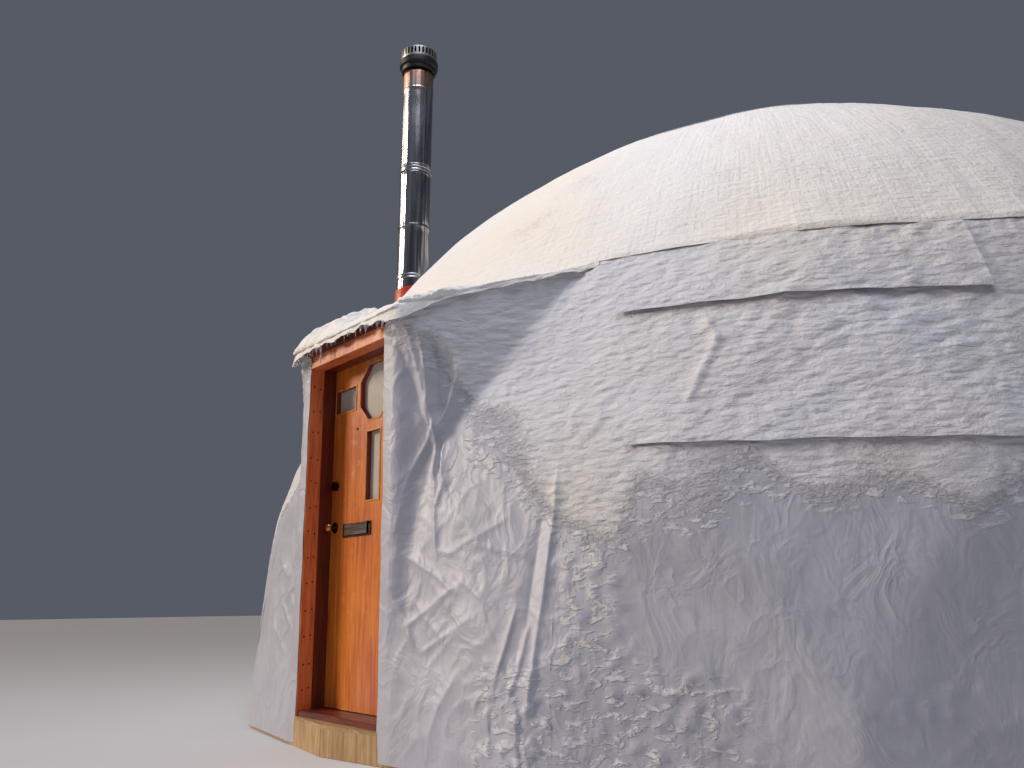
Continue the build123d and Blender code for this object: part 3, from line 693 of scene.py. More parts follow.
def make_piece(
    name: str,
    points: Array,
    quads: Array,
    look: Look,
    slot: str,
    body: str = SHELL,
    replaces: Sequence[str] = (),
    uv: Array | None = None,
    frost: Array | None = None,
    smooth: bool = True,
) -> bpy.types.Object:
    """Puts points and faces in a mesh object that rides on a body.

    Args:
        name: the piece's name.
        points: vertices, one row each.
        quads: corner numbers of each face, three or four a row.
        look: its finish.
        slot: name of a material slot; not used.
        body: the body it moves with.
        replaces: nodes that it stands for.
        uv: the sheet's own coordinates of each vertex, in metres.
        frost: share of frozen snow at each vertex.
        smooth: whether it is shaded smooth.

    Returns:
        The object.
    """
    mesh = bpy.data.meshes.new(name)
    corners = quads.shape[1]
    mesh.vertices.add(len(points))
    mesh.vertices.foreach_set("co", np.asarray(points, np.float32).ravel())
    mesh.loops.add(quads.size)
    mesh.loops.foreach_set("vertex_index", quads.astype(np.int32).ravel())
    mesh.polygons.add(len(quads))
    mesh.polygons.foreach_set("loop_start", np.arange(0, quads.size, corners, dtype=np.int32))
    mesh.update(calc_edges=True)
    mesh.polygons.foreach_set("use_smooth", np.full(len(quads), smooth))
    if uv is not None:
        layer = mesh.uv_layers.new(name="Sheet")
        layer.data.foreach_set("uv", uv[quads.ravel()].astype(np.float32).ravel())
    if frost is not None:
        kept = mesh.attributes.new("frost", "FLOAT", "POINT")
        kept.data.foreach_set("value", np.asarray(frost, np.float32).ravel())
    mesh.materials.append(finish_of(look))
    mesh.validate()
    joined = np.empty(len(mesh.loops), np.int32)
    mesh.loops.foreach_get("edge_index", joined)
    single = np.bincount(joined, minlength=len(mesh.edges)) == 1
    if single.any():
        sharp = mesh.attributes.new("sharp_edge", "BOOLEAN", "EDGE")
        sharp.data.foreach_set("value", single)
    obj = bpy.data.objects.new(name, mesh)
    bpy.context.scene.collection.objects.link(obj)
    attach(obj, body)
    if replaces:
        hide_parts(*replaces)
    LOG.info("%s: %d faces", name, len(quads))
    return obj


def joined(parts: Sequence[tuple[Array, Array]]) -> tuple[Array, Array]:
    """Several meshes as one: points end to end, and faces that count on from mesh to mesh.

    Args:
        parts: points and faces of each mesh.

    Returns:
        The points and the faces of all.
    """
    starts = np.cumsum([0] + [len(points) for points, _ in parts[:-1]])
    faces = [own + start for (_, own), start in zip(parts, starts)]
    return np.vstack([points for points, _ in parts]), np.vstack(faces)


def area_of(points: Array, quads: Array) -> float:
    """Area of four-cornered faces: half the cross product of each one's diagonals, summed."""
    a, b, c, d = (points[quads[:, i]] for i in range(4))
    return float(np.linalg.norm(np.cross(c - a, d - b), axis=1).sum() / 2)


def thicken(obj: bpy.types.Object, thickness: float) -> None:
    """Gives a one-layer sheet its thickness inward.

    Args:
        obj: the sheet's object.
        thickness: in metres.
    """
    solid = obj.modifiers.new("wall", "SOLIDIFY")
    solid.thickness = thickness
    solid.offset = -1.0


def lathe(
    profile: Array, segments: int, origin: Array, axis: Array, closed: bool = False,
    swell: Callable[[Array, Array], Array] | None = None,
) -> tuple[Array, Array]:
    """Surface of revolution: each profile point (radius, height) is carried round the axis.

    Args:
        profile: radii and heights along the profile.
        segments: number of steps round.
        origin: the axis's foot.
        axis: its direction.
        closed: whether the profile's last point joins its first.
        swell: change of radius as a function of the angle and the height.

    Returns:
        Points and faces, facing outward when heights rise along the profile.
    """
    axis = axis / np.linalg.norm(axis)
    side = np.cross([0.0, 1.0, 0.0] if abs(axis[1]) < 0.9 else [1.0, 0.0, 0.0], axis)
    side = side / np.linalg.norm(side)
    other = np.cross(axis, side)
    angle = np.arange(segments) * (2 * math.pi / segments)
    radius = np.repeat(profile[:, :1], segments, 1)
    height = np.repeat(profile[:, 1:], segments, 1)
    if swell is not None:
        radius = radius + swell(angle[None, :], height)
    points = (
        origin
        + height[..., None] * axis
        + (radius * np.cos(angle))[..., None] * side
        + (radius * np.sin(angle))[..., None] * other
    )
    quads = grid_quads(len(profile), segments, True)
    if closed:
        last = (len(profile) - 1) * segments
        column = np.arange(segments)
        beyond = (column + 1) % segments
        quads = np.vstack([quads, np.stack([last + column, last + beyond, beyond, column], -1)])
    return points.reshape(-1, 3), quads


def rounded(profile: Sequence[tuple[float, float]], cut: float, steps: int = 3) -> Array:
    """A profile with each inner corner replaced by a short curve.

    Each corner point P between A and B becomes the curve (1-t)^2 P1 + 2t(1-t) P + t^2 P2, where
    P1 and P2 lie a cut's length from P toward A and B.

    Args:
        profile: the profile's points.
        cut: length taken off each side of a corner.
        steps: points on each curve.

    Returns:
        The rounded profile.
    """
    points = [np.array(p, float) for p in profile]
    out = [points[0][None, :]]
    t = np.linspace(0, 1, steps)[:, None]
    for a, p, b in zip(points, points[1:], points[2:]):
        first = p + (a - p) * min(0.45, cut / max(np.linalg.norm(a - p), 1e-9))
        second = p + (b - p) * min(0.45, cut / max(np.linalg.norm(b - p), 1e-9))
        out.append((1 - t) ** 2 * first + 2 * t * (1 - t) * p + t**2 * second)
    out.append(points[-1][None, :])
    return np.vstack(out)


def cloud(across: Array, up: Array, seed: int) -> Array:
    """Smooth noise from -1 to 1: slopes drawn at the whole-number places of a plane, blended.

    Args:
        across: first coordinate of each point.
        up: second coordinate.
        seed: number that fixes the draw.

    Returns:
        The noise at each point.
    """
    draw = np.random.default_rng(seed)
    order = np.concatenate([draw.permutation(256)] * 2)
    slope = draw.uniform(0, 2 * math.pi, 256)
    x0 = np.floor(across).astype(int)
    y0 = np.floor(up).astype(int)
    fx = across - x0
    fy = up - y0

    def corner(i: int, j: int) -> Array:
        """Slope at a cell's corner times the way from it."""
        angle = slope[order[(order[(x0 + i) & 255] + y0 + j) & 255]]
        return np.cos(angle) * (fx - i) + np.sin(angle) * (fy - j)

    wx = fx * fx * fx * (fx * (fx * 6 - 15) + 10)
    wy = fy * fy * fy * (fy * (fy * 6 - 15) + 10)
    low = corner(0, 0) * (1 - wx) + corner(1, 0) * wx
    high = corner(0, 1) * (1 - wx) + corner(1, 1) * wx
    return (low * (1 - wy) + high * wy) * 1.5


def rise(value: Array, low: float, high: float) -> Array:
    """0 below low, 1 above high and a smooth step 3t^2-2t^3 between.

    Args:
        value: the values.
        low: where the step starts.
        high: where it ends.

    Returns:
        The step at each value.
    """
    t = np.clip((value - low) / (high - low), 0.0, 1.0)
    return t * t * (3 - 2 * t)


# The cover's form


@dataclass
class DomeForm:
    """The cover's shape as a distance from the sphere's centre in each direction."""

    outer: float = OUTER
    softness: float = 0.006
    lift: float = 0.006
    sag: float = 0.010
    plump_wall: float = 0.30
    plump_roof: float = 0.85
    blend: float = 0.008
    ring_count: int = 20
    normals: Array = field(init=False)
    reaches: Array = field(init=False)
    hubs: Array = field(init=False)
    hood: Array = field(init=False)

    def __post_init__(self) -> None:
        """Works out the panels' planes and the doorway's facets."""
        panels = self._panels()
        a, b, c = (panels[:, i] * self.outer for i in range(3))
        normal = np.cross(b - a, c - a)
        normal /= np.linalg.norm(normal, axis=1)[:, None]
        normal *= np.sign((normal * a).sum(1))[:, None]
        turn = (np.arange(self.ring_count) + 0.5) * 2 * math.pi / self.ring_count
        skirt = np.stack([np.sin(turn), -np.cos(turn), np.zeros_like(turn)], -1)
        reach = np.full(self.ring_count, self.outer * math.cos(math.pi / self.ring_count))
        self.normals = np.vstack([normal, skirt])
        self.reaches = np.concatenate([(normal * a).sum(1), reach])
        self.hubs = np.unique(np.round(panels.reshape(-1, 3), 6), axis=0)
        self.hood = self._hood()

    @staticmethod
    def direction(elevation: Any, turn: Any) -> Array:
        """Unit vectors at elevations and turns in radians."""
        level = np.cos(elevation)
        return np.stack([level * np.sin(turn), -level * np.cos(turn), np.sin(elevation)], -1)

    def place(self, elevation: Array, turn: Array, off: Any) -> Array:
        """Points that stand off the cover's form.

        Args:
            elevation: elevations in radians.
            turn: turns in radians.
            off: distance from the form in metres.

        Returns:
            The points, in the part's own frame.
        """
        points = self.direction(elevation, turn) * (self.reach(elevation, turn) + off)[..., None]
        points[..., 2] += CENTRE_Z
        return points

    def _panels(self) -> Array:
        """Corners of the panels: an icosahedron's faces divided by four, carried out to a sphere.

        Returns:
            Three unit corners for each panel above the base.
        """
        high = math.atan(0.5)
        fifth = 2 * math.pi / 5
        top = np.array([0.0, 0.0, 1.0])
        faces = []
        for k in range(5):
            upper, following = (
                self.direction(high, fifth * (k + s)) for s in (0.5, 1.5)
            )
            lower, after = (self.direction(-high, fifth * (k + s)) for s in (0.0, 1.0))
            faces += [(top, upper, following), (upper, after, following), (upper, lower, after)]
        faces = np.array(faces)
        i, j = np.meshgrid(np.arange(5), np.arange(5), indexing="ij")
        weights = np.stack([4 - i - j, i, j], -1).reshape(25, 3) / 4.0
        grid = np.einsum("kw,fwc->fkc", weights, faces)
        grid /= np.linalg.norm(grid, axis=2)[:, :, None]
        cells = [(5 * p + q, 5 * (p + 1) + q, 5 * p + q + 1)
                 for p in range(4) for q in range(4 - p)]
        cells += [(5 * (p + 1) + q, 5 * (p + 1) + q + 1, 5 * p + q + 1)
                  for p in range(3) for q in range(3 - p)]
        panels = grid[:, np.array(cells)].reshape(-1, 3, 3)
        return panels[panels[:, :, 2].min(1) > -1e-6]

    def _hub(self, elevation: float, turn: float) -> Array:
        """The outer point of the hub nearest to a direction in degrees."""
        aim = self.direction(math.radians(elevation), math.radians(turn))
        return self.hubs[np.argmax(self.hubs @ aim)] * self.outer

    def _hood(self) -> Array:
        """The doorway's facets on its right side.

        Returns:
            Three corners for each facet, about the centre.
        """
        front = FRONT_Y
        base, shoulder = self._hub(0, 18), self._hub(16, 9.7)
        brow, brow_side = self._hub(31.7, 0), self._hub(30.2, 20)
        post = 0.5212
        low = -CENTRE_Z
        foot, sill, neck = (np.array([post, front, z]) for z in (0.0, low, 1.9916))
        eave = np.array([0.6, front, 2.0685])
        skirt = np.array([base[0], base[1], low])
        edge = np.array([0.0, front, low])
        edge_top = np.array([0.0, front, 2.0685])
        return np.array([
            (base, shoulder, foot), (foot, shoulder, neck), (neck, shoulder, eave),
            (eave, shoulder, brow_side), (eave, brow_side, brow),
            (skirt, base, foot), (skirt, foot, sill),
            (sill, neck, edge), (edge, neck, edge_top), (neck, eave, edge_top),
            (eave, brow, edge_top),
        ])

    def reach(self, elevation: Array, turn: Array) -> Array:
        """Distance of the cover from the centre.

        Over the dome it is the soft minimum, -s log(sum exp(-r/s)), of the distances r at which
        the direction meets each panel's plane. By the doorway the facets of its hood stand
        further out, so the larger of the two holds.

        Args:
            elevation: elevations in radians.
            turn: turns in radians.

        Returns:
            The distance in each direction.
        """
        aim = self.direction(elevation, turn).reshape(-1, 3)
        best = np.empty(len(aim))
        for start in range(0, len(aim), 20000):
            part = aim[start:start + 20000]
            along = part @ self.normals.T
            meets = np.where(along > 0.2, self.reaches / np.maximum(along, 0.2), 1e3)
            least = meets.min(1)
            gathered = np.exp((least[:, None] - meets) / self.softness).sum(1)
            edge = np.sort(meets, 1)[:, 1] - least
            best[start:start + 20000] = (
                least - self.softness * np.log(gathered) + self.lift
                - self.sag * rise(edge, 0.0, 0.10)
            )
        high = rise(elevation.ravel(), math.radians(20), math.radians(42))
        share = (self.plump_wall + (self.plump_roof - self.plump_wall) * high) * rise(
            elevation.ravel(), 0.0, math.radians(12)
        )
        best += share * np.maximum(self.outer + 0.004 - best, 0.0)
        near = np.abs((turn.ravel() + math.pi) % (2 * math.pi) - math.pi) < math.radians(21)
        if near.any():
            part = np.stack([np.abs(aim[near, 0]), aim[near, 1], aim[near, 2]], -1)
            hood = self._hood_reach(part)
            apart = np.abs(hood - best[near]) / self.blend
            best[near] = np.maximum(best[near], hood) + self.blend * np.log1p(np.exp(-apart))
        return best.reshape(np.shape(elevation))

    def _hood_reach(self, aim: Array) -> Array:
        """Where each direction meets the doorway's facets.

        Args:
            aim: unit directions on the right side.

        Returns:
            The distance, 0 where a direction misses.
        """
        found = np.zeros(len(aim))
        for a, b, c in self.hood:
            weights = np.linalg.solve(np.stack([a, b, c], 1), aim.T).T
            inside = weights.min(1) > -1e-3
            found = np.where(inside, np.maximum(found, 1.0 / np.maximum(weights.sum(1), 1e-6)),
                             found)
        return found


FORM = DomeForm()


@dataclass(frozen=True)
class Fold:
    """A crease of the fabric along a straight run, given in turns and heights."""

    turn_a: float
    height_a: float
    turn_b: float
    height_b: float
    width: float
    relief: float


DOOR_FOLDS = (
    Fold(8.85, 2.20, 9.70, 1.72, 0.026, 0.026),
    Fold(9.45, 2.14, 9.95, 1.74, 0.024, -0.022),
    Fold(10.3, 2.22, 11.15, 2.00, 0.020, 0.020),
    Fold(11.15, 2.00, 10.05, 1.71, 0.022, 0.022),
    Fold(10.4, 2.06, 10.1, 1.78, 0.026, -0.012),
    Fold(9.75, 1.72, 9.85, 1.44, 0.022, 0.024),
    Fold(10.15, 1.66, 10.3, 1.46, 0.018, -0.014),
    Fold(9.85, 1.46, 10.85, 1.03, 0.024, 0.014),
    Fold(9.95, 1.70, 10.9, 1.40, 0.018, 0.018),
    Fold(10.9, 1.40, 10.5, 1.28, 0.016, 0.012),
    Fold(9.6, 1.69, 8.1, 1.45, 0.026, 0.014),
    Fold(8.1, 1.45, 7.3, 1.16, 0.030, 0.010),
    Fold(9.2, 1.72, 7.4, 1.86, 0.030, 0.010),
    Fold(9.3, 1.60, 7.6, 1.30, 0.030, -0.008),
    Fold(12.3, 1.61, 19.1, 1.34, 0.018, 0.009),
    Fold(11.0, 1.04, 12.2, 1.03, 0.016, 0.008),
    Fold(12.2, 1.03, 16.2, 1.17, 0.020, 0.010),
    Fold(14.3, 1.06, 18.1, 0.99, 0.020, 0.010),
    Fold(7.5, 1.045, 12.5, 0.85, 0.022, 0.014),
    Fold(12.6, 0.92, 15.1, 0.80, 0.020, 0.008),
    Fold(8.5, 0.68, 12.9, 0.87, 0.022, 0.012),
    Fold(6.9, 0.85, 9.1, 0.58, 0.028, 0.014),
    Fold(9.2, 0.78, 12.0, 0.60, 0.018, 0.008),
    Fold(10.2, 0.56, 14.2, 0.72, 0.018, 0.008),
    Fold(19.85, 1.36, 19.35, 0.84, 0.024, 0.020),
    Fold(19.35, 0.84, 18.6, 0.33, 0.028, 0.018),
    Fold(18.9, 1.25, 18.3, 0.70, 0.040, -0.010),
    Fold(17.4, 0.74, 16.2, 0.42, 0.020, 0.012),
    Fold(18.4, 0.66, 17.4, 0.38, 0.018, 0.012),
    Fold(29.3, 2.12, 30.0, 1.98, 0.030, 0.022),
    Fold(30.0, 1.98, 28.2, 1.68, 0.030, 0.022),
    Fold(27.0, 2.16, 28.4, 2.02, 0.026, 0.010),
)
LEFT_FOLDS = DOOR_FOLDS[:24]


def fold_relief(turn: Array, height: Array, folds: Sequence[Fold]) -> Array:
    """Height of the creases: the sum of relief times exp(-d/width) at distances d from the runs.

    Args:
        turn: turns in degrees.
        height: heights above the ground.
        folds: the creases.

    Returns:
        The relief at each point.
    """
    metres = math.radians(1.0) * WALL_ARC
    bend = 0.016 * cloud(turn * 0.55, height * 3.0, 61)
    x, y = turn * metres + bend, height + 0.6 * bend
    relief = np.zeros_like(x)
    for fold in folds:
        ax, ay = fold.turn_a * metres, fold.height_a
        dx, dy = fold.turn_b * metres - ax, fold.height_b - ay
        share = np.clip(((x - ax) * dx + (y - ay) * dy) / (dx * dx + dy * dy), -0.2, 1.2)
        gone = np.hypot(x - ax - share * dx, y - ay - share * dy)
        fade = rise(share, -0.2, 0.15) * (1 - rise(share, 0.85, 1.2))
        relief += fold.relief * fade * np.exp(-gone / (0.72 * fold.width))
    return relief


def crumples(across: Array, up: Array) -> Array:
    """Creases of crushed film: (1 - 2.4|n|)^2 of smooth noises n, two sizes mixed.

    Args:
        across: distance along the sheet, across.
        up: height.

    Returns:
        The creases from 0 to 1.
    """
    slant = across + 0.35 * up
    first = np.clip(1 - 2.4 * np.abs(cloud(slant * 2.4, up * 1.9 - across * 0.4, 62)), 0, 1)
    second = np.clip(1 - 2.4 * np.abs(cloud(across * 5.5 - up, up * 4.6, 63)), 0, 1)
    return 0.62 * first**2 + 0.38 * second**2


@dataclass(frozen=True)
class Sheet:
    """One sheet of the cover: a grid of turns and heights."""

    name: str
    node: str
    first: float
    last: float
    low: float
    high: float
    step: float
    look: Look
    slot: str
    rests_on: tuple[str, ...]
    lift: float = 0.0
    tucks_last: bool = False


@dataclass
class Cover:
    """The fabric over the frame, sheet by sheet."""

    thickness: float = 0.0022
    hem: float = 0.014
    third_ring: float = 31.2
    fifth_ring: float = 60.8
    overlap: float = 0.9
    lip: float = 0.030
    flue_hole: float = 0.139
    seam_lap: float = 0.12
    seam_tuck: float = 0.0010
    tuck_span: float = 0.15
    wall_top: float = 2.66
    hub_turn: float = 21.5
    hub_height: float = 1.64

    @property
    def hem_elevation(self) -> float:
        """Elevation of the roof's hem in degrees."""
        return self.third_ring - self.overlap

    def frost_line(self, turn: Array) -> Array:
        """Height above which the wall is crusted, as a broken line over the turns.

        Args:
            turn: turns in degrees.

        Returns:
            The height at each turn.
        """
        turns = [-60, -24, -14, -9, 0, 8, 11, 13, 17, 20, 24, 25.5, 40, 60, 90]
        lines = [1.3, 1.2, 1.7, 2.2, 2.3, 2.25, 1.95, 1.68, 1.38, 1.18, 1.08, 1.22, 1.25, 1.2, 1.3]
        wrapped = (turn + 180) % 360 - 180
        inside = np.abs(wrapped) < 90
        return np.where(inside, np.interp(np.clip(wrapped, -60, 90), turns, lines), 1.3)

    def relief(self, turn: Array, height: Array, arc: Array, wall: bool) -> tuple[Array, Array]:
        """Relief of folds and frozen snow, and the share of frost.

        Args:
            turn: turns in degrees.
            height: heights above the ground.
            arc: distance along the sheet, across, for a wall.
            wall: whether the sheet is part of the wall.

        Returns:
            The relief in metres and the frost from 0 to 1.
        """
        if not wall:
            around = np.radians(turn)
            level = np.cos(height / ROOF_ARC)
            x, y = ROOF_ARC * level * np.sin(around), ROOF_ARC * level * np.cos(around)
            frost = 0.84 + 0.16 * cloud(x * 1.1, y * 1.1, 31)
            soft = cloud(x * 1.4, y * 1.4, 32) * 0.012
            pits = cloud(x * 5.5, y * 5.5, 34) * 0.0035
            streaks = cloud(around * 40.0, height * 1.3, 33) * 0.0016 * rise(level, 0.15, 0.5)
            return soft + pits + streaks, frost
        border = self.frost_line(turn) + cloud(arc * 2.6, height * 2.6, 3) * 0.20
        crust = rise(height, 0.0, 1.0) * rise(height - border, -0.26, 0.30)
        warp = cloud(arc * 3.1, height * 3.1, 13)
        ridges = 1 - 2 * np.abs(cloud(arc * 7.5 + warp, height * 19.0 + 1.8 * warp, 5))
        scales = ridges + 0.4 * cloud(arc * 14.0, height * 28.0, 6)
        swell = cloud(arc * 4.2, height * 6.5, 7)
        patch = rise(cloud(arc * 13.0, height * 15.0, 8), 0.05, 0.42)
        wrapped = (turn + 180) % 360 - 180
        sparse = (
            np.exp(-(((wrapped - 22.2) / 2.4) ** 2)) * rise(height, 0.3, 0.5)
            + 0.9 * (1 - rise(height, 0.42, 0.62)) * rise(wrapped, 13, 16)
            * (1 - 0.6 * rise(wrapped, 27, 34))
            + 0.45 * rise(np.abs(wrapped), 60, 75)
        )
        sparse = np.clip(sparse, 0, 1) * (1 - crust)
        waves = rise(wrapped, 30, 35) * (1 - rise(wrapped, 44, 50)) * rise(height, 1.78, 1.9)
        frozen = cloud(arc * 6.0 + height * 5.0, height * 12.0 - arc * 3.0, 10) * waves
        slack = 1 - 0.85 * rise(np.abs(wrapped), 11.5, 21.0)
        relief = (
            crust * (0.0044 * scales + 0.0060 * swell + 0.002)
            + patch * sparse * 0.010
            + frozen * 0.012
            + cloud(arc * 1.6, height * 1.9, 11) * 0.008
            + crumples(arc, height) * 0.011 * (1 - crust) * slack
            + cloud(arc * 11.0, height * 7.0, 12) * 0.0016 * (1 - crust)
        )
        folds = fold_relief(wrapped, height, DOOR_FOLDS)
        mirrored = fold_relief(-wrapped + 1.2, height + 0.06, LEFT_FOLDS)
        return relief + folds + mirrored, np.clip(crust + 0.27 * sparse, 0, 1)

    def hub_print(self, turn: Array, height: Array) -> Array:
        """A hub's round print through the fabric: a low ring about a flat middle.

        Args:
            turn: turns in degrees.
            height: heights above the ground.

        Returns:
            The relief at each point.
        """
        metres = math.radians(1.0) * 4.3
        gone = np.hypot((turn - self.hub_turn) * metres, height - self.hub_height)
        ring = 0.009 * np.exp(-(((gone - 0.078) / 0.017) ** 2))
        return ring + 0.006 * np.exp(-((gone / 0.05) ** 4))

    def wall_points(self, turn: Array, height: Array) -> tuple[Array, Array]:
        """Points of the wall at turns in degrees and heights, with their frost.

        Above the base ring a point lies in the direction whose slope is height over reach; the
        skirt below it hangs straight down.

        Args:
            turn: turns in degrees.
            height: heights above the ground.

        Returns:
            The points and the frost from 0 to 1.
        """
        around = np.radians(turn)
        above = np.maximum(height - CENTRE_Z, 0.0)
        elevation = np.arcsin(np.clip(above / (FORM.outer - 0.03), 0, 1))
        for _ in range(3):
            reach = FORM.reach(elevation, around)
            elevation = np.arcsin(np.clip(above / reach, 0, 1))
        reach = FORM.reach(elevation, around)
        relief, frost = self.relief(turn, height, around * WALL_ARC, True)
        relief = relief + self.hub_print(turn, height)
        relief *= rise(height, self.hem, 0.10) * 0.9 + 0.1
        relief += (np.maximum(relief, 0.0) - relief) * (1 - rise(height, 0.40, 0.60))
        level = (reach + relief) * np.cos(elevation)
        points = np.stack([level * np.sin(around), -level * np.cos(around), height], -1)
        return points, frost

    def roof_points(self, turn: Array, elevation: Array, lift: float) -> tuple[Array, Array]:
        """Points of the roof, whose hem stands off as a plump lip.

        Args:
            turn: turns in degrees.
            elevation: elevations in degrees.
            lift: height of the sheet above the form.

        Returns:
            The points and the frost from 0 to 1.
        """
        around, up = np.radians(turn), np.radians(elevation)
        relief, frost = self.relief(turn, up * ROOF_ARC, around, False)
        above = elevation - self.hem_elevation
        plump = 0.55 + 0.6 * cloud(around * 11.0, up * 6.0, 35)
        beside = np.abs((turn + 180) % 360 - 180)
        close = 0.10 + 0.90 * rise(beside, 19.0, 30.0)
        lip = close * self.lip * plump * rise(above, -0.05, 0.35) * np.exp(
            -np.clip(above, 0, 9) / 1.3
        )
        frost = np.clip(frost + rise(-above, -2.2, 0.0), 0, 1)
        return FORM.place(up, around, relief + lift + np.where(above < 8.0, lip, 0.0)), frost

    def add(self, sheet: Sheet) -> bpy.types.Object:
        """Its first edge runs on a little and tucks in under the neighbour's last edge, and its last
        edge does so too where the sheet says that both are tucked.

        Args:
            sheet: its names, extent and finish.

        Returns:
            The object.
        """
        is_wall = sheet.look is Look.WALL
        start = sheet.first - self.seam_lap
        end = sheet.last + (self.seam_lap if sheet.tucks_last else 0.0)
        arc = math.radians(end - start) * ROOF_ARC
        if is_wall:
            columns = int(arc / sheet.step) + 1
            rows = int((sheet.high - sheet.low) / sheet.step) + 1
            turn, height = np.meshgrid(
                np.linspace(start, end, columns), np.linspace(sheet.low, sheet.high, rows),
            )
            points, frost = self.wall_points(turn, height)
        else:
            middle = math.cos(math.radians((sheet.low + sheet.high) / 2))
            columns = int(arc * middle / sheet.step) + 1
            rows = int(math.radians(sheet.high - sheet.low) * ROOF_ARC / sheet.step) + 1
            turn, elevation = np.meshgrid(
                np.linspace(start, end, columns), np.linspace(sheet.low, sheet.high, rows),
            )
            points, frost = self.roof_points(turn, elevation, sheet.lift)
        tuck = 1 - rise(turn, sheet.first, sheet.first + self.tuck_span)
        if sheet.tucks_last:
            tuck += rise(turn, sheet.last - self.tuck_span, sheet.last)
        level = np.linalg.norm(points[..., :2], axis=2)
        points[..., :2] *= (1 - self.seam_tuck * tuck / level)[..., None]
        if is_wall:
            chart = np.stack([np.radians(turn) * WALL_ARC, height], -1)
        else:
            chart = np.stack([np.radians(turn) * 3.06, np.radians(elevation) * ROOF_ARC], -1)
        return self.finish_sheet(sheet, points, frost, chart)

    def pierced(self, points: Array, quads: Array) -> tuple[Array, Array]:
        """Cuts the flue's hole: quads near its line go, and the hole's edge is drawn to a circle.

        Args:
            points: the sheet's points.
            quads: its faces.

        Returns:
            The points and the faces that are left.
        """
        offset = points - FLUE_FOOT
        radial = offset - (offset @ FLUE_AXIS)[:, None] * FLUE_AXIS
        gone = np.linalg.norm(radial, axis=1)
        kept = gone[quads].mean(1) > self.flue_hole
        edge = np.intersect1d(quads[kept], quads[~kept])
        moved = points.copy()
        moved[edge] += radial[edge] * (self.flue_hole / gone[edge] - 1)[:, None]
        return moved, quads[kept]

    def finish_sheet(
        self, sheet: Sheet, points: Array, frost: Array, chart: Array, closed: bool = False,
    ) -> bpy.types.Object:
        """Turns a grid of points into a sheet of cloth.

        Args:
            sheet: its names and finish.
            points: the grid's points, row by row.
            frost: the frost at each point.
            chart: the sheet's own coordinates at each point, in metres.
            closed: whether the last column joins the first.

        Returns:
            The object.
        """
        rows, columns = points.shape[:2]
        flat, quads = self.pierced(points.reshape(-1, 3), grid_quads(rows, columns, closed))
        piece = make_piece(
            sheet.name, flat, quads, sheet.look, sheet.slot,
            replaces=(sheet.node,) if sheet.node else (),
            uv=chart.reshape(-1, 2), frost=frost.ravel(),
        )
        thicken(piece, self.thickness)
        area = area_of(flat, quads)
        return piece

    def build(self) -> None:
        """Makes the wall, roof and crown sheets."""
        lower = ("base_ring_frame", "lower_wall_frame", "upper_wall_frame")
        sheets = [
            Sheet("wall_cloth_front_right", "wall_cover_front_right", 20, 72, self.hem,
                  self.wall_top, 0.0165, Look.WALL, "cover", lower),
        ]
        names = ("right", "back_right", "back_left", "left")
        for k, name in enumerate(names):
            sheets.append(
                Sheet(f"wall_cloth_{name}", f"wall_cover_{name}", 72 + 54 * k, 126 + 54 * k,
                      self.hem, self.wall_top, 0.036, Look.WALL, "cover", lower)
            )
        sheets.append(
            Sheet("wall_cloth_front_left", "wall_cover_front_left", 288, 340, self.hem,
                  self.wall_top, 0.03, Look.WALL, "cover", lower, tucks_last=True)
        )
        upper = ("roof_frame", "crown_frame")
        spans = {
            "front": (-36, 36, 0.021), "front_right": (36, 108, 0.024),
            "back_right": (108, 180, 0.045), "back_left": (180, 252, 0.045),
            "front_left": (252, 324, 0.04),
        }
        for name, (first, last, step) in spans.items():
            sheets.append(
                Sheet(f"roof_cloth_{name}", f"roof_cover_{name}", first, last,
                      self.hem_elevation, self.fifth_ring + self.overlap, step,
                      Look.ROOF, "roof_cover", upper, lift=0.008)
            )
        for sheet in sheets:
            self.add(sheet)
        self.crown()

    def crown(self) -> None:
        """The sheet over the top: rings of points that close on the apex."""
        columns, rows = 150, 52
        turn, elevation = np.meshgrid(
            np.arange(columns) * 360.0 / columns,
            np.linspace(self.fifth_ring - self.overlap, 89.9, rows),
        )
        points, frost = self.roof_points(turn, elevation, 0.013)
        sheet = Sheet("crown_cloth", "crown_cover", 0, 360, 0, 0, 0.05, Look.ROOF, "roof_cover",
                      ("crown_frame",))
        self.finish_sheet(sheet, points, frost, points[..., :2], True)


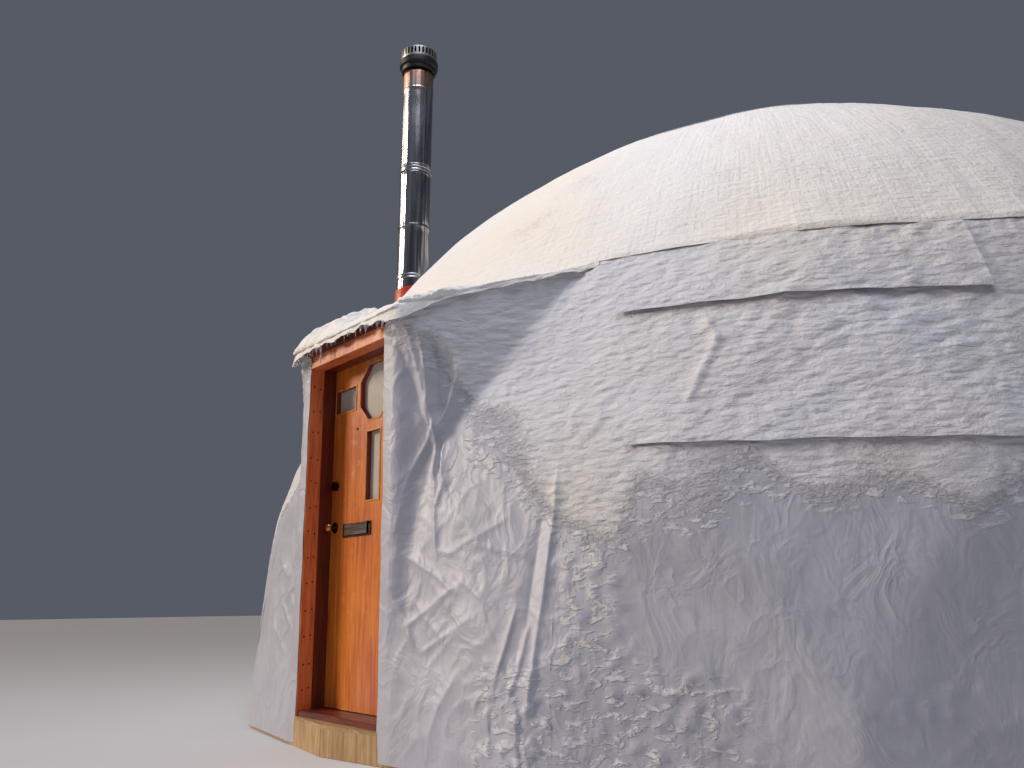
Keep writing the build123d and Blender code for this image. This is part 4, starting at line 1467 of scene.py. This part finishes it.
@dataclass
class DoorwayCloth:
    """The fabric beside and over the doorway."""

    step: float = 0.0115
    last_turn: float = 20.0
    lap: float = 0.0035
    eave_turn: float = 7.75
    neck: float = 2.31
    eave: float = 2.3868
    drop: float = 0.066
    corner_drop: float = 0.050
    overhang: float = 0.050
    cover: Cover = field(default_factory=Cover)

    def crease(self, turn: Array) -> Array:
        """Height of the crease that climbs from the eave's end to the dome's third ring.

        Args:
            turn: turns in degrees.

        Returns:
            The height above the ground at each turn.
        """
        start = np.array([0.6, FRONT_Y, self.eave - CENTRE_Z])
        end = np.array([1.32531, -3.64826, 2.25475])
        line = start + np.linspace(0, 1, 24)[:, None] * (end - start)
        turns = np.degrees(np.arctan2(line[:, 0], -line[:, 1]))
        return np.interp(np.abs(turn), turns, line[:, 2]) + CENTRE_Z

    def edge(self, share: Array, loose: float) -> Array:
        """Turn of the fabric's front edge, slack near the top.

        Args:
            share: shares of the edge's height.
            loose: how slack the edge is, up to 1.

        Returns:
            The turn in degrees at each share.
        """
        height = share * self.eave
        wave = 0.005 * cloud(height * 4.0, height * 0.0 + loose, 21)
        x = BOARD_X - 0.030 - loose * 0.020 * rise(height, 1.5, 2.25) + wave
        flare = rise(height, self.neck - 0.02, self.eave - 0.01)
        return np.degrees(np.arctan2(x * (1 - flare) + 0.60 * flare, -FRONT_Y))

    def side(self, right: bool) -> None:
        """One side sheet: from its front edge round to the wall, its rows spread to the crease.

        Args:
            right: whether it is the sheet to the door's right.
        """
        columns = int(math.radians(self.last_turn) * ROOF_ARC / self.step) + 1
        rows = int((self.eave - self.cover.hem) / self.step) + 1
        share, up = np.meshgrid(np.linspace(0, 1, columns), np.linspace(0, 1, rows))
        start = self.edge(up, 1.0 if right else 0.3)
        turn = start + (self.last_turn - start) * share
        top = self.crease(self.eave_turn + (self.last_turn - self.eave_turn) * share[:1]) + 0.006
        height = self.cover.hem + (top - self.cover.hem) * up
        sign = 1.0 if right else -1.0
        points, frost = self.cover.wall_points(turn * sign, height)
        front = 1 - rise(np.abs(points[..., 0]), BOARD_X - 0.01, BOARD_X + 0.16)
        front = front * (1 - rise(height, 2.28, self.neck + 0.03))
        wanted = FRONT_Y - self.lap - 0.004 * np.abs(cloud(height * 3.0, share * 2.0, 22))
        points[..., 1] = points[..., 1] * (1 - front) + wanted * front
        chart = np.stack([np.radians(turn) * WALL_ARC * sign, height], -1)
        order = slice(None) if right else slice(None, None, -1)
        name = "right" if right else "left"
        sheet = Sheet(
            f"doorway_cloth_{name}", f"doorway_cover_{name}", 0, 0, 0, 0, self.step, Look.WALL,
            "cover", ("surround_boards", "base_ring_frame"),
        )
        self.cover.finish_sheet(sheet, points[:, order], frost[:, order], chart[:, order])

    def foot(self, turn: Array) -> Array:
        """Elevation of the roof's lower edge: the eave before the door, the crease beside it.

        Args:
            turn: turns in degrees.

        Returns:
            The elevation in radians at each turn.
        """
        around = np.radians(turn)
        tilt = np.radians(np.linspace(24.0, 32.5, 80))
        reach = FORM.reach(*np.meshgrid(tilt, around, indexing="ij"))
        heights = reach * np.sin(tilt)[:, None] + CENTRE_Z
        nearest = np.abs(heights - self.crease(turn)).argmin(0)
        eave = np.arctan2(self.eave - CENTRE_Z, -FRONT_Y / np.cos(around))
        return np.where(np.abs(turn) > self.eave_turn, tilt[nearest], eave)

    def hang(self, turn: Array) -> Array:
        """How far the roof's lowest row hangs below its foot: uneven, and lowest at both ends.

        Args:
            turn: turns in degrees.

        Returns:
            The drop in metres at each turn.
        """
        over = 1 - rise(np.abs(turn), self.eave_turn - 0.3, self.eave_turn + 1.2)
        sway = 1 + 0.35 * cloud(turn * 0.7, turn * 0.0, 24)
        corner = np.exp(-(((np.abs(turn) - self.eave_turn - 0.2) / 1.5) ** 2))
        return self.drop * sway * (0.40 + 0.60 * over) + self.corner_drop * corner

    def roof(self) -> None:
        """The doorway's roof: a sheet from its drip edge up to where the roof's hem laps it.

        Over the dome and the doorway it follows the cover's form. Its lowest rows hang over the
        eave, and beyond the eave they lie on the wall as a narrow hem.
        """
        columns, rows, apron = 150, 60, 7
        turn, up = np.meshgrid(np.linspace(-20.6, 20.6, columns), np.linspace(0, 1, rows))
        around = np.radians(turn)
        foot = self.foot(turn[0])
        rest = np.clip((up * (rows - 1) - apron) / (rows - 1 - apron), 0, 1)
        elevation = foot + (math.radians(32.2) - foot) * rest
        off = 0.003 + 0.004 * cloud(around * 22, elevation * 22, 23)
        points = FORM.place(elevation, around, off)
        share = np.clip(1 - up * (rows - 1) / apron, 0, 1)
        over = 1 - rise(np.abs(turn), self.eave_turn - 0.3, self.eave_turn + 1.2)
        past = rise(np.abs(turn), self.eave_turn - 0.6, self.eave_turn + 0.5)
        outward = np.stack([0.75 * np.sign(around) * past, -1 + 0.3 * past, 0 * around], -1)
        crimp = 0.008 * cloud(turn * 1.9, share * 1.5, 25) * share
        points += outward * (np.sqrt(share) * (self.overhang * over + 0.014) + crimp)[..., None]
        points[..., 2] -= share**1.5 * self.hang(turn)
        chart = np.stack([around * ROOF_ARC, elevation * ROOF_ARC + share * 0.08], -1)
        sheet = Sheet("doorway_roof_cloth", "doorway_roof_cover", 0, 0, 0, 0, 0.02, Look.ROOF,
                      "roof_cover", ("fascia_board", "doorway_cloth_right"))
        self.cover.finish_sheet(sheet, points, np.full(turn.shape, 0.9), chart)

    def build(self) -> None:
        """Makes the three sheets."""
        self.side(True)
        self.side(False)
        self.roof()


@dataclass
class WindowFlaps:
    """Two weather flaps over the side window, both in one piece of cloth."""

    upper: tuple[float, float, float, float] = (22.9, 47.5, 2.205, 2.62)
    lower: tuple[float, float, float, float] = (24.35, 47.0, 1.475, 1.72)
    flat_width: float = 1.9
    cover: Cover = field(default_factory=Cover)

    def grid(
        self, span: tuple[float, float, float, float], stand: float, droop: float
    ) -> tuple[Array, Array, Array]:
        """Points of one flap, which stands off the wall most at its hem.

        Args:
            span: first and last turn in degrees, and the heights of its hem and top.
            stand: how far the hem stands off.
            droop: how much lower the hem ends than it starts.

        Returns:
            The points, their frost and their coordinates on the sheet.
        """
        first, last, hem, top = span
        columns, rows = 150, 22
        across, up = np.meshgrid(np.linspace(0, 1, columns), np.linspace(0, 1, rows))
        turn = first + (last - first) * across
        low = hem - droop * across + 0.008 * cloud(across * 7.0, across * 0.0, 41)
        height = low + (top - low) * up
        points, frost = self.cover.wall_points(turn, height)
        outward = points * np.array([1.0, 1.0, 0.0])
        outward /= np.linalg.norm(outward, axis=2)[..., None]
        off = 0.006 + stand * (1 - rise(up, 0.0, 0.9)) + 0.003 * cloud(across * 12, up * 2, 42)
        return points + outward * off[..., None], frost, np.stack([turn * 0.076, height], -1)

    def build(self) -> None:
        """Makes the piece from both grids."""
        grids = [self.grid(self.upper, 0.020, 0.035), self.grid(self.lower, 0.016, 0.055)]
        whole, faces = joined([
            (points.reshape(-1, 3), grid_quads(*frost.shape)) for points, frost, _ in grids
        ])
        piece = make_piece(
            "window_flap_cloth", whole, faces, Look.WALL, "flap", replaces=("window_flaps",),
            uv=np.vstack([chart.reshape(-1, 2) for _, _, chart in grids]),
            frost=np.concatenate([frost.ravel() for _, frost, _ in grids]),
        )
        thicken(piece, self.cover.thickness)
        width = self.flat_width
        round(area_of(whole, faces) / width, 3)


# Doorway dressing


@dataclass
class DoorwayDressing:
    """Screws on the boards, snow and icicles at the eave."""

    screw_pitch: float = 0.152
    icicle_count: int = 58
    cloth: DoorwayCloth = field(default_factory=DoorwayCloth)

    def screws(self) -> None:
        """Two columns of domed heads down each inner face of the surround boards."""
        profile = np.array([(0.0056, 0.0), (0.0052, 0.0010), (0.0036, 0.0019), (0.0004, 0.0022)])
        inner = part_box("surround_boards")[1].x - 0.038
        levels = np.arange(0.30, 2.20, self.screw_pitch)
        draw = np.random.default_rng(4)
        parts = []
        for side in (-1.0, 1.0):
            for back in (0.024, 0.066):
                for level in levels:
                    foot = np.array([
                        side * (inner + 0.0002), FRONT_Y + back + draw.uniform(-0.004, 0.004),
                        level + draw.uniform(-0.012, 0.012),
                    ])
                    parts.append(lathe(profile, 10, foot, np.array([-side, 0.0, 0.0])))
        make_piece("surround_screws", *joined(parts), Look.SCREW, "bronze")

    def icicles(self) -> None:
        """Tapering icicles along the eave's drip edge, of uneven length, and one long one."""
        draw = np.random.default_rng(9)
        parts = []
        taper = np.linspace(0, 1, 9)
        places = np.sort(draw.uniform(-0.60, 0.60, self.icicle_count))
        lengths = 0.016 + 0.050 * draw.beta(1.6, 2.4, self.icicle_count)
        places = np.append(places, [-0.21, 0.33])
        lengths = np.append(lengths, [0.135, 0.075])
        drip = self.cloth.eave - self.cloth.hang(np.degrees(np.arctan2(places, -FRONT_Y))) + 0.006
        for x, length, top in zip(places, lengths, drip):
            radius = 0.0030 + 0.030 * length
            wobble = 1 + 0.10 * np.sin(taper * 17 + x * 90)
            profile = np.stack([
                np.maximum(radius * (1 - taper) ** 0.8 * wobble, 0.0003), taper * length
            ], -1)
            foot = np.array([x, FRONT_Y - 0.061 + 0.006 * math.sin(x * 31), top])
            parts.append(lathe(profile, 8, foot, np.array([0.0, 0.0, -1.0])))
        make_piece("eave_icicles", *joined(parts), Look.ICE, "roof_cover")

    def blanket(self, name: str, base: Array, outward: Array, thick: Array) -> None:
        """Snow that lies on a grid of points: a lumpy top, a hidden underside and a closed rim.

        Args:
            name: the piece's name.
            base: the grid's points, row by row.
            outward: direction in which the snow is thick.
            thick: its thickness at each point.
        """
        rows, columns = thick.shape
        top = (base + outward * (thick + 0.003)[..., None]).reshape(-1, 3)
        low = (base - outward * 0.004).reshape(-1, 3)
        quads = grid_quads(rows, columns)
        count = rows * columns
        rim = np.concatenate([
            np.arange(columns - 1), np.arange(columns - 1, count - 1, columns),
            np.arange(count - 1, count - columns, -1), np.arange(count - columns, 0, -columns),
        ])
        after = np.roll(rim, -1)
        wall = np.stack([rim + count, after + count, after, rim], -1)
        faces = np.vstack([quads, quads[:, ::-1] + count, wall])
        chart = np.concatenate([top[:, [0, 2]], low[:, [0, 2]]])
        piece = make_piece(name, np.vstack([top, low]), faces, Look.SNOW, "roof_cover",
                           uv=chart, frost=np.ones(2 * count))
        outward_faces(piece)

    def snow(self) -> None:
        """Snow on the doorway's roof, heaped at its left end and rounded over at the drip edge."""
        columns, rows = 160, 70
        across, back = np.meshgrid(np.linspace(-1, 1, columns), np.linspace(0, 1, rows))
        turn = across * (8.25 + 0.35 * cloud(back * 4, back * 0 + 3.0, 52)) - 0.15
        around = np.radians(turn)
        eave = np.arctan2(self.cloth.eave - CENTRE_Z, -FRONT_Y / np.cos(around))
        elevation = eave + math.radians(5.6) * back
        base = FORM.place(elevation, around, 0.006)
        out = 1 - rise(back, -0.04, 0.13)
        base[..., 1] -= (0.060 + 0.012 * cloud(turn * 0.9, turn * 0.0, 54)) * out
        base[..., 2] -= 0.040 * out**1.5
        edge = np.minimum(rise(1 - np.abs(across), 0.0, 0.12), rise(back, -0.01, 0.10))
        lumps = 0.55 + 0.40 * cloud(turn * 0.42, back * 4.5, 51)
        lumps += 0.25 * cloud(turn * 1.1, back * 9, 53)
        heaped = 1.45 - 1.0 * rise(turn, -6.0, 1.0) - 0.15 * rise(turn, 1.0, 7.0)
        thick = (0.022 + 0.080 * np.clip(lumps, 0.1, 1.5)) * np.sqrt(edge) * heaped
        up = np.zeros_like(base) + np.array([0.0, -0.10, 1.0])
        self.blanket("eave_snow", base, up, thick * (1 - rise(back, 0.60, 1.0)))

    def ridge(self) -> None:
        """Snow that lies along the crease from the eave's right end to where the hem laps it."""
        columns, rows = 130, 26
        turns = np.linspace(6.4, 16.2, columns)
        across, turn = np.meshgrid(np.linspace(0, 1, rows), turns, indexing="ij")
        foot = np.where(turns > self.cloth.eave_turn, self.cloth.foot(turns),
                        self.cloth.foot(np.full_like(turns, self.cloth.eave_turn + 0.05)))
        wide = 1.9 - 0.9 * rise(turn, 9.0, 15.0) + 0.3 * cloud(turn * 0.9, turn * 0.0, 56)
        elevation = foot + np.radians(across * wide - 0.22 + 0.1 * cloud(turn * 1.3, turn * 0, 57))
        around = np.radians(turn)
        aim = DomeForm.direction(elevation, around)
        base = FORM.place(elevation, around, 0.008)
        lumps = 0.60 + 0.45 * cloud(turn * 0.75, across * 2.2, 58)
        lumps += 0.22 * cloud(turn * 2.1, across * 5, 59)
        ends = rise(turn, 6.4, 7.4) * (1 - 0.75 * rise(turn, 10.0, 13.0))
        ends *= 1 - rise(turn, 13.0, 16.2)
        round_over = np.sqrt(np.clip(1 - (2 * across - 1) ** 2, 0, 1))
        self.blanket("crease_snow", base, aim, 0.058 * np.clip(lumps, 0.1, 1.5) * ends * round_over)

    def build(self) -> None:
        """Makes the four dressings."""
        self.screws()
        self.icicles()
        self.snow()
        self.ridge()


# Door


@dataclass
class DoorDressing:
    """Edging round the cut-outs, and the turned knob."""

    knob_x: float = -0.390
    knob_z: float = 1.2403

    def knob(self) -> None:
        """Outer and inner knobs turned about the spindle, as one closed form."""
        outer = [(0.0004, 0.0), (0.009, 0.0), (0.0095, 0.024), (0.013, 0.031), (0.022, 0.036),
                 (0.0268, 0.045), (0.0262, 0.054), (0.021, 0.063), (0.0115, 0.0672),
                 (0.0004, 0.068)]
        shape = rounded(outer, 0.006, 4)
        front = np.array([self.knob_x, LEAF_LOW.y, self.knob_z])
        rear = np.array([self.knob_x, LEAF_HIGH.y, self.knob_z])
        inward = np.array([0.0, 1.0, 0.0])
        spindle = np.array([(0.0086, -0.001), (0.0086, 0.045)])
        parts = [
            lathe(shape, 40, front, -inward), lathe(shape, 40, rear, inward),
            lathe(spindle, 16, front, inward),
        ]
        make_piece("turned_knob", *joined(parts), Look.BRASS, "brass", body="knob",
                   replaces=("door_knob",))

    def edging(self) -> None:
        """Slim beads round the cut-outs, lighter than the leaf for worn wood and a painted highlight
        along the edges: a small profile carried along each outline.

        The profile is a quarter round that stands 3 mm off the face and laps the cut's edge.
        """
        profile = np.array([(-0.0025, 0.0005), (-0.0025, -0.0030), (0.0005, -0.0042),
                            (0.0055, -0.0040), (0.0078, -0.0024), (0.0082, 0.0005)])
        parts = []
        for outline in self.outlines():
            count = len(outline)
            before, after = np.roll(outline, 1, 0), np.roll(outline, -1, 0)
            first = (outline - before) / np.linalg.norm(outline - before, axis=1)[:, None]
            second = (after - outline) / np.linalg.norm(after - outline, axis=1)[:, None]
            normal = np.stack([first[:, 1] + second[:, 1], -(first[:, 0] + second[:, 0])], -1)
            normal /= (1 + (first * second).sum(1))[:, None]
            ring = outline[None] + profile[:, :1, None] * normal[None]
            y = np.broadcast_to(LEAF_LOW.y + profile[:, 1:], (len(profile), count))
            own = np.stack([ring[..., 0], y, ring[..., 1]], -1)
            faces = grid_quads(len(profile), count, True)
            here, beyond = np.arange(count), (np.arange(count) + 1) % count
            last = (len(profile) - 1) * count
            closing = np.stack([last + here, last + beyond, beyond, here], -1)
            parts.append((own.reshape(-1, 3), np.vstack([faces, closing])))
        piece = make_piece("window_edging", *joined(parts), Look.DOOR_EDGE, "door_wood",
                           body="door", smooth=False)
        outward_faces(piece)

    def outlines(self) -> list[Array]:
        """Outlines of the windows: the octagon, the tall one and the two small ones.

        Returns:
            The corners of each, as x and z.
        """
        foot = LEAF_LOW.z

        def box(x: float, z: float, width: float, height: float) -> Array:
            """Corners of an upright oblong about its middle."""
            w, h = width / 2, height / 2
            return np.array([(x - w, z - h), (x + w, z - h), (x + w, z + h), (x - w, z + h)])

        w, h, c = 0.168, 0.175, 0.098
        eight = np.array([
            (-w + c, -h), (w - c, -h), (w, -h + c), (w, h - c), (w - c, h), (-w + c, h),
            (-w, h - c), (-w, -h + c),
        ]) + np.array([0.038, foot + 1.840])
        left = box((-0.182 - 0.432) / 2, foot + 1.835, 0.432 - 0.182, 0.150)
        right = box((0.258 + 0.392) / 2, foot + 1.835, 0.392 - 0.258, 0.150)
        return [eight, box(0.038, foot + 1.388, 0.154, 0.415), left, right]

    def build(self) -> None:
        """Makes the knob and the edging."""
        self.knob()
        self.edging()


def outward_faces(obj: bpy.types.Object) -> None:
    """Turns a closed mesh's faces outward.

    Args:
        obj: the mesh's object.
    """
    work = bmesh.new()
    work.from_mesh(obj.data)
    bmesh.ops.recalc_face_normals(work, faces=work.faces)
    work.to_mesh(obj.data)
    work.free()


# Flue


@dataclass
class Flue:
    """The insulated flue with its rings, bands and slotted cap."""

    radius: float = 0.127
    bore: float = 0.102
    length: float = 2.548
    slots: int = 30

    def level(self, height: float) -> float:
        """Distance along the flue of a height above the ground."""
        return (height - FLUE_FOOT[2]) / math.cos(FLUE_LEAN)

    def add(self, name: str, profile: Array, look: Look, slot: str, node: str = "",
            closed: bool = True, segments: int = 96,
            swell: Callable[[Array, Array], Array] | None = None) -> bpy.types.Object:
        """A turned piece on the flue's line.

        Args:
            name: the piece's name.
            profile: radii and distances along the flue.
            look: its finish.
            slot: name of a material slot, passed on to make_piece.
            node: the node that it stands for, if any.
            closed: whether the profile's last point joins its first.
            segments: number of steps round.
            swell: change of radius as a function of the angle and the height.

        Returns:
            The object.
        """
        points, quads = lathe(profile, segments, FLUE_FOOT, FLUE_AXIS, closed, swell)
        return make_piece(name, points, quads, look, slot, replaces=(node,) if node else ())

    def pipe(self) -> None:
        """Outer skin with rolled rings at its joints, an upright seam and faint ripples."""
        r, length = self.radius, self.length
        outer = [(self.bore, 0.0), (r - 0.003, 0.0), (r, 0.004)]
        for height, swell in ((3.19, 0.0028), (3.775, 0.0034), (4.240, 0.0032), (4.306, 0.0032),
                              (5.013, 0.0036)):
            at = self.level(height)
            outer += [(r, at - 0.012), (r + swell, at - 0.006), (r + swell, at + 0.001),
                      (r - 0.0012, at + 0.005), (r, at + 0.012)]
        steps = [(r, z) for z in np.arange(0.05, length - 0.02, 0.06)]
        outer = sorted(outer[3:] + steps, key=lambda p: p[1])
        profile = [(self.bore, 0.0), (r - 0.002, 0.0)] + outer + [(r - 0.002, length),
                                                                   (self.bore, length)]

        def swell(angle: Array, height: Array) -> Array:
            """Sum of a narrow upright seam and waves round and along the pipe.

            Args:
                angle: angles round the pipe in radians.
                height: distances along it.

            Returns:
                The change of radius at each point.
            """
            seam = 0.0020 * np.exp(-(((angle - 5.1) / 0.022) ** 2))
            dents = 0.0007 * np.sin(angle * 9 + np.sin(height * 1.7) * 0.8)
            ripple = 0.0004 * np.sin(angle * 23 + height * 2.1)
            return seam + dents + ripple + 0.0003 * np.sin(height * 37 + angle * 3)

        self.add("flue_pipe", np.array(profile), Look.FLUE, "stainless", "chimney_pipe",
                 segments=160, swell=swell)

    def bands(self) -> None:
        """Locking bands of two beads with a strap between."""
        parts = []
        for height in (3.335, 4.270):
            at = self.level(height)
            r = self.radius + 0.0006
            profile = rounded([
                (r, at - 0.020), (r + 0.005, at - 0.019), (r + 0.0065, at - 0.013),
                (r + 0.003, at - 0.008), (r + 0.003, at + 0.008), (r + 0.0065, at + 0.013),
                (r + 0.005, at + 0.019), (r, at + 0.020),
            ], 0.002, 3)
            parts.append(lathe(profile, 96, FLUE_FOOT, FLUE_AXIS, True))
        make_piece("flue_bands", *joined(parts), Look.BAND, "stainless",
                   replaces=("chimney_bands",))

    def cap(self) -> None:
        """Flange, collar and the slotted drum whose lid rounds over."""
        top = self.length
        flange = rounded([
            (0.1030, top + 0.001), (0.141, top + 0.001), (0.1445, top + 0.006),
            (0.1445, top + 0.038), (0.150, top + 0.046), (0.1625, top + 0.050),
            (0.1630, top + 0.060), (0.1630, top + 0.098), (0.157, top + 0.1065),
            (0.1030, top + 0.1065),
        ], 0.003)
        self.add("cap_flange", flange, Look.SOOT, "cap_metal", "chimney_cap")
        base = top + 0.107
        segments = self.slots * 4
        levels = np.array([0.0, 0.003, 0.020, 0.048, 0.076, 0.084, 0.091, 0.0965, 0.099])
        radii = np.array([0.1520, 0.1523, 0.1523, 0.1523, 0.1523, 0.1512, 0.146, 0.128, 0.090])
        points, quads = lathe(np.stack([radii, base + levels], -1), segments, FLUE_FOOT, FLUE_AXIS)
        row = np.arange(len(quads)) // segments
        column = np.arange(len(quads)) % segments
        kept = quads[~((row >= 2) & (row < 4) & (column % 4 < 2))]
        lid_ring = (len(levels) - 1) * segments
        apex = len(points)
        points = np.vstack([points, FLUE_FOOT + FLUE_AXIS * (base + 0.0995)])
        around = np.arange(segments)
        lid = np.stack([
            lid_ring + around, lid_ring + (around + 1) % segments, np.full(segments, apex),
        ], -1)
        drum = make_piece("cap_drum", points, kept, Look.CAP, "cap_metal")
        cover = make_piece("cap_lid_crown", points[np.r_[lid_ring:apex + 1]], lid - lid_ring,
                           Look.CAP, "cap_metal")
        thicken(drum, 0.0016)
        thicken(cover, 0.0016)
        core = np.array([(0.104, base), (0.107, base), (0.107, base + 0.078),
                         (0.104, base + 0.078)])
        self.add("cap_core", core, Look.SOOT, "cap_metal")

    def build(self) -> None:
        """Makes the flue's pieces."""
        self.pipe()
        self.bands()
        self.cap()


# Finishes of the solids that stay


@dataclass
class SolidFinishes:
    """Which finish each solid that stays in view wears."""

    table: dict[str, Look] = field(default_factory=lambda: {
        "platform_rim": Look.LUMBER, "floor_joists": Look.LUMBER, "floor_deck": Look.PLYWOOD,
        "base_curb": Look.LUMBER, "base_ring_frame": Look.TUBE, "lower_wall_frame": Look.TUBE,
        "upper_wall_frame": Look.TUBE, "roof_frame": Look.TUBE, "crown_frame": Look.TUBE,
        "doorway_struts": Look.TUBE, "rough_frame": Look.BOARD, "surround_boards": Look.BOARD,
        "door_jamb": Look.TRIM, "threshold": Look.TRIM_ACROSS, "fascia_board": Look.TRIM_ACROSS,
        "door_leaf": Look.DOOR, "window_panes": Look.GLASS, "window_beads": Look.DOOR,
        "mail_slot_plate": Look.BRONZE, "mail_flap": Look.FLAP_METAL, "door_furniture": Look.BRONZE,
        "hinges_on_leaf": Look.BRASS, "hinges_on_jamb": Look.BRASS, "chimney_boot": Look.BOOT,
    })

    def dress(self) -> None:
        """Gives every node its finish."""
        for name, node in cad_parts.items():
            look = self.table.get(name)
            if look is None:
                if not node.hide_render:
                    LOG.warning("%s has no finish", name)
                continue
            node.data.materials.clear()
            node.data.materials.append(finish_of(look))
            LOG.info("%s wears %s", name, look.value.name)


# Studio


@dataclass
class Studio:
    """Floor, soft lights, sky and the camera."""

    place: tuple[float, float, float] = (4.525, -6.882, 0.791)
    yaw: float = 50.33
    pitch: float = 13.86
    roll: float = -0.66
    lens: float = 30.94
    key_spread: float = 17.0

    def camera(self) -> None:
        """Camera at the viewing place."""
        yaw, pitch, roll = (math.radians(a) for a in (self.yaw, self.pitch, self.roll))
        forward = Vector((-math.sin(yaw) * math.cos(pitch), math.cos(yaw) * math.cos(pitch),
                          math.sin(pitch)))
        right = Vector((math.cos(yaw), math.sin(yaw), 0.0))
        up = right.cross(forward)
        side = right * math.cos(roll) + up * math.sin(roll)
        top = up * math.cos(roll) - right * math.sin(roll)
        data = bpy.data.cameras.new("view")
        data.lens = self.lens
        data.sensor_width = 36.0
        data.clip_start, data.clip_end = 0.05, 200.0
        obj = bpy.data.objects.new("view", data)
        turn = Matrix((side, top, -forward)).transposed().to_4x4()
        obj.matrix_world = Matrix.Translation(self.place) @ turn
        bpy.context.scene.collection.objects.link(obj)
        bpy.context.scene.camera = obj

    def light(self, name: str, place: Sequence[float], aim: Sequence[float], size: float,
              power: float, colour: Colour) -> None:
        """A square soft light turned to a point.

        Args:
            name: the light's name.
            place: where it stands.
            aim: the point that it is turned to.
            size: length of its side.
            power: in watts.
            colour: its colour.
        """
        data = bpy.data.lights.new(name, "AREA")
        data.shape = "SQUARE"
        data.size = size
        data.energy, data.color = power, colour
        self.turned(data, place, aim)

    def sun(self, place: Sequence[float], aim: Sequence[float], strength: float,
            colour: Colour) -> None:
        """An even key light from afar, soft at its shadows' edges.

        Args:
            place: a point in the direction that it comes from.
            aim: the point that it is turned to.
            strength: in watts on a square metre.
            colour: its colour.
        """
        data = bpy.data.lights.new("key", "SUN")
        data.energy, data.color = strength, colour
        data.angle = math.radians(self.key_spread)
        self.turned(data, place, aim)

    @staticmethod
    def turned(data: bpy.types.Light, place: Sequence[float], aim: Sequence[float]) -> None:
        """Puts a light in the scene.

        Args:
            data: the light.
            place: where it stands.
            aim: the point that it is turned to.
        """
        obj = bpy.data.objects.new(data.name, data)
        obj.location = place
        obj.rotation_mode = "QUATERNION"
        obj.rotation_quaternion = (Vector(aim) - Vector(place)).to_track_quat("-Z", "Y")
        bpy.context.scene.collection.objects.link(obj)

    def floor(self) -> None:
        """A broad flat pale disc, 2 mm below the ground."""
        profile = np.array([(r, -0.002) for r in (0.001, 6.0, 14.0, 26.0, 40.0, 60.0)])
        points, quads = lathe(profile, 64, np.zeros(3), np.array([0.0, 0.0, 1.0]))
        mesh = bpy.data.meshes.new("studio_floor")
        mesh.from_pydata(points.tolist(), [], quads.tolist())
        mesh.materials.append(finish_of(Look.FLOOR))
        obj = bpy.data.objects.new("studio_floor", mesh)
        bpy.context.scene.collection.objects.link(obj)

    def sky(self) -> None:
        """Even pale surroundings, a little blue."""
        world = bpy.data.worlds.new("sky")
        world.use_nodes = True
        shade = world.node_tree.nodes["Background"]
        shade.inputs["Color"].default_value = (0.72, 0.80, 1.0, 1.0)
        shade.inputs["Strength"].default_value = 0.13
        bpy.context.scene.world = world
        bpy.context.scene.view_settings.view_transform = "Standard"

    def build(self) -> None:
        """Sets the studio up."""
        self.camera()
        self.floor()
        self.sky()
        self.sun((-9.5, -12.5, 7.5), (0.0, -2.5, 2.0), 2.5, (1.0, 0.86, 0.70))
        self.light("top", (2.5, -5.5, 11.0), (1.5, -3.2, 1.5), 5.0, 520.0, (0.86, 0.90, 1.0))
        self.light("fill", (11.0, -7.0, 4.0), (1.0, -2.0, 1.5), 7.0, 30.0, (0.84, 0.90, 1.0))


def main() -> None:
    """Builds the pieces in order."""
    logging.basicConfig(level=logging.INFO, format="%(name)s %(message)s")
    Cover().build()
    DoorwayCloth().build()
    WindowFlaps().build()
    DoorwayDressing().build()
    DoorDressing().build()
    Flue().build()
    SolidFinishes().dress()
    Studio().build()


if __name__ == "__main__":
    main()
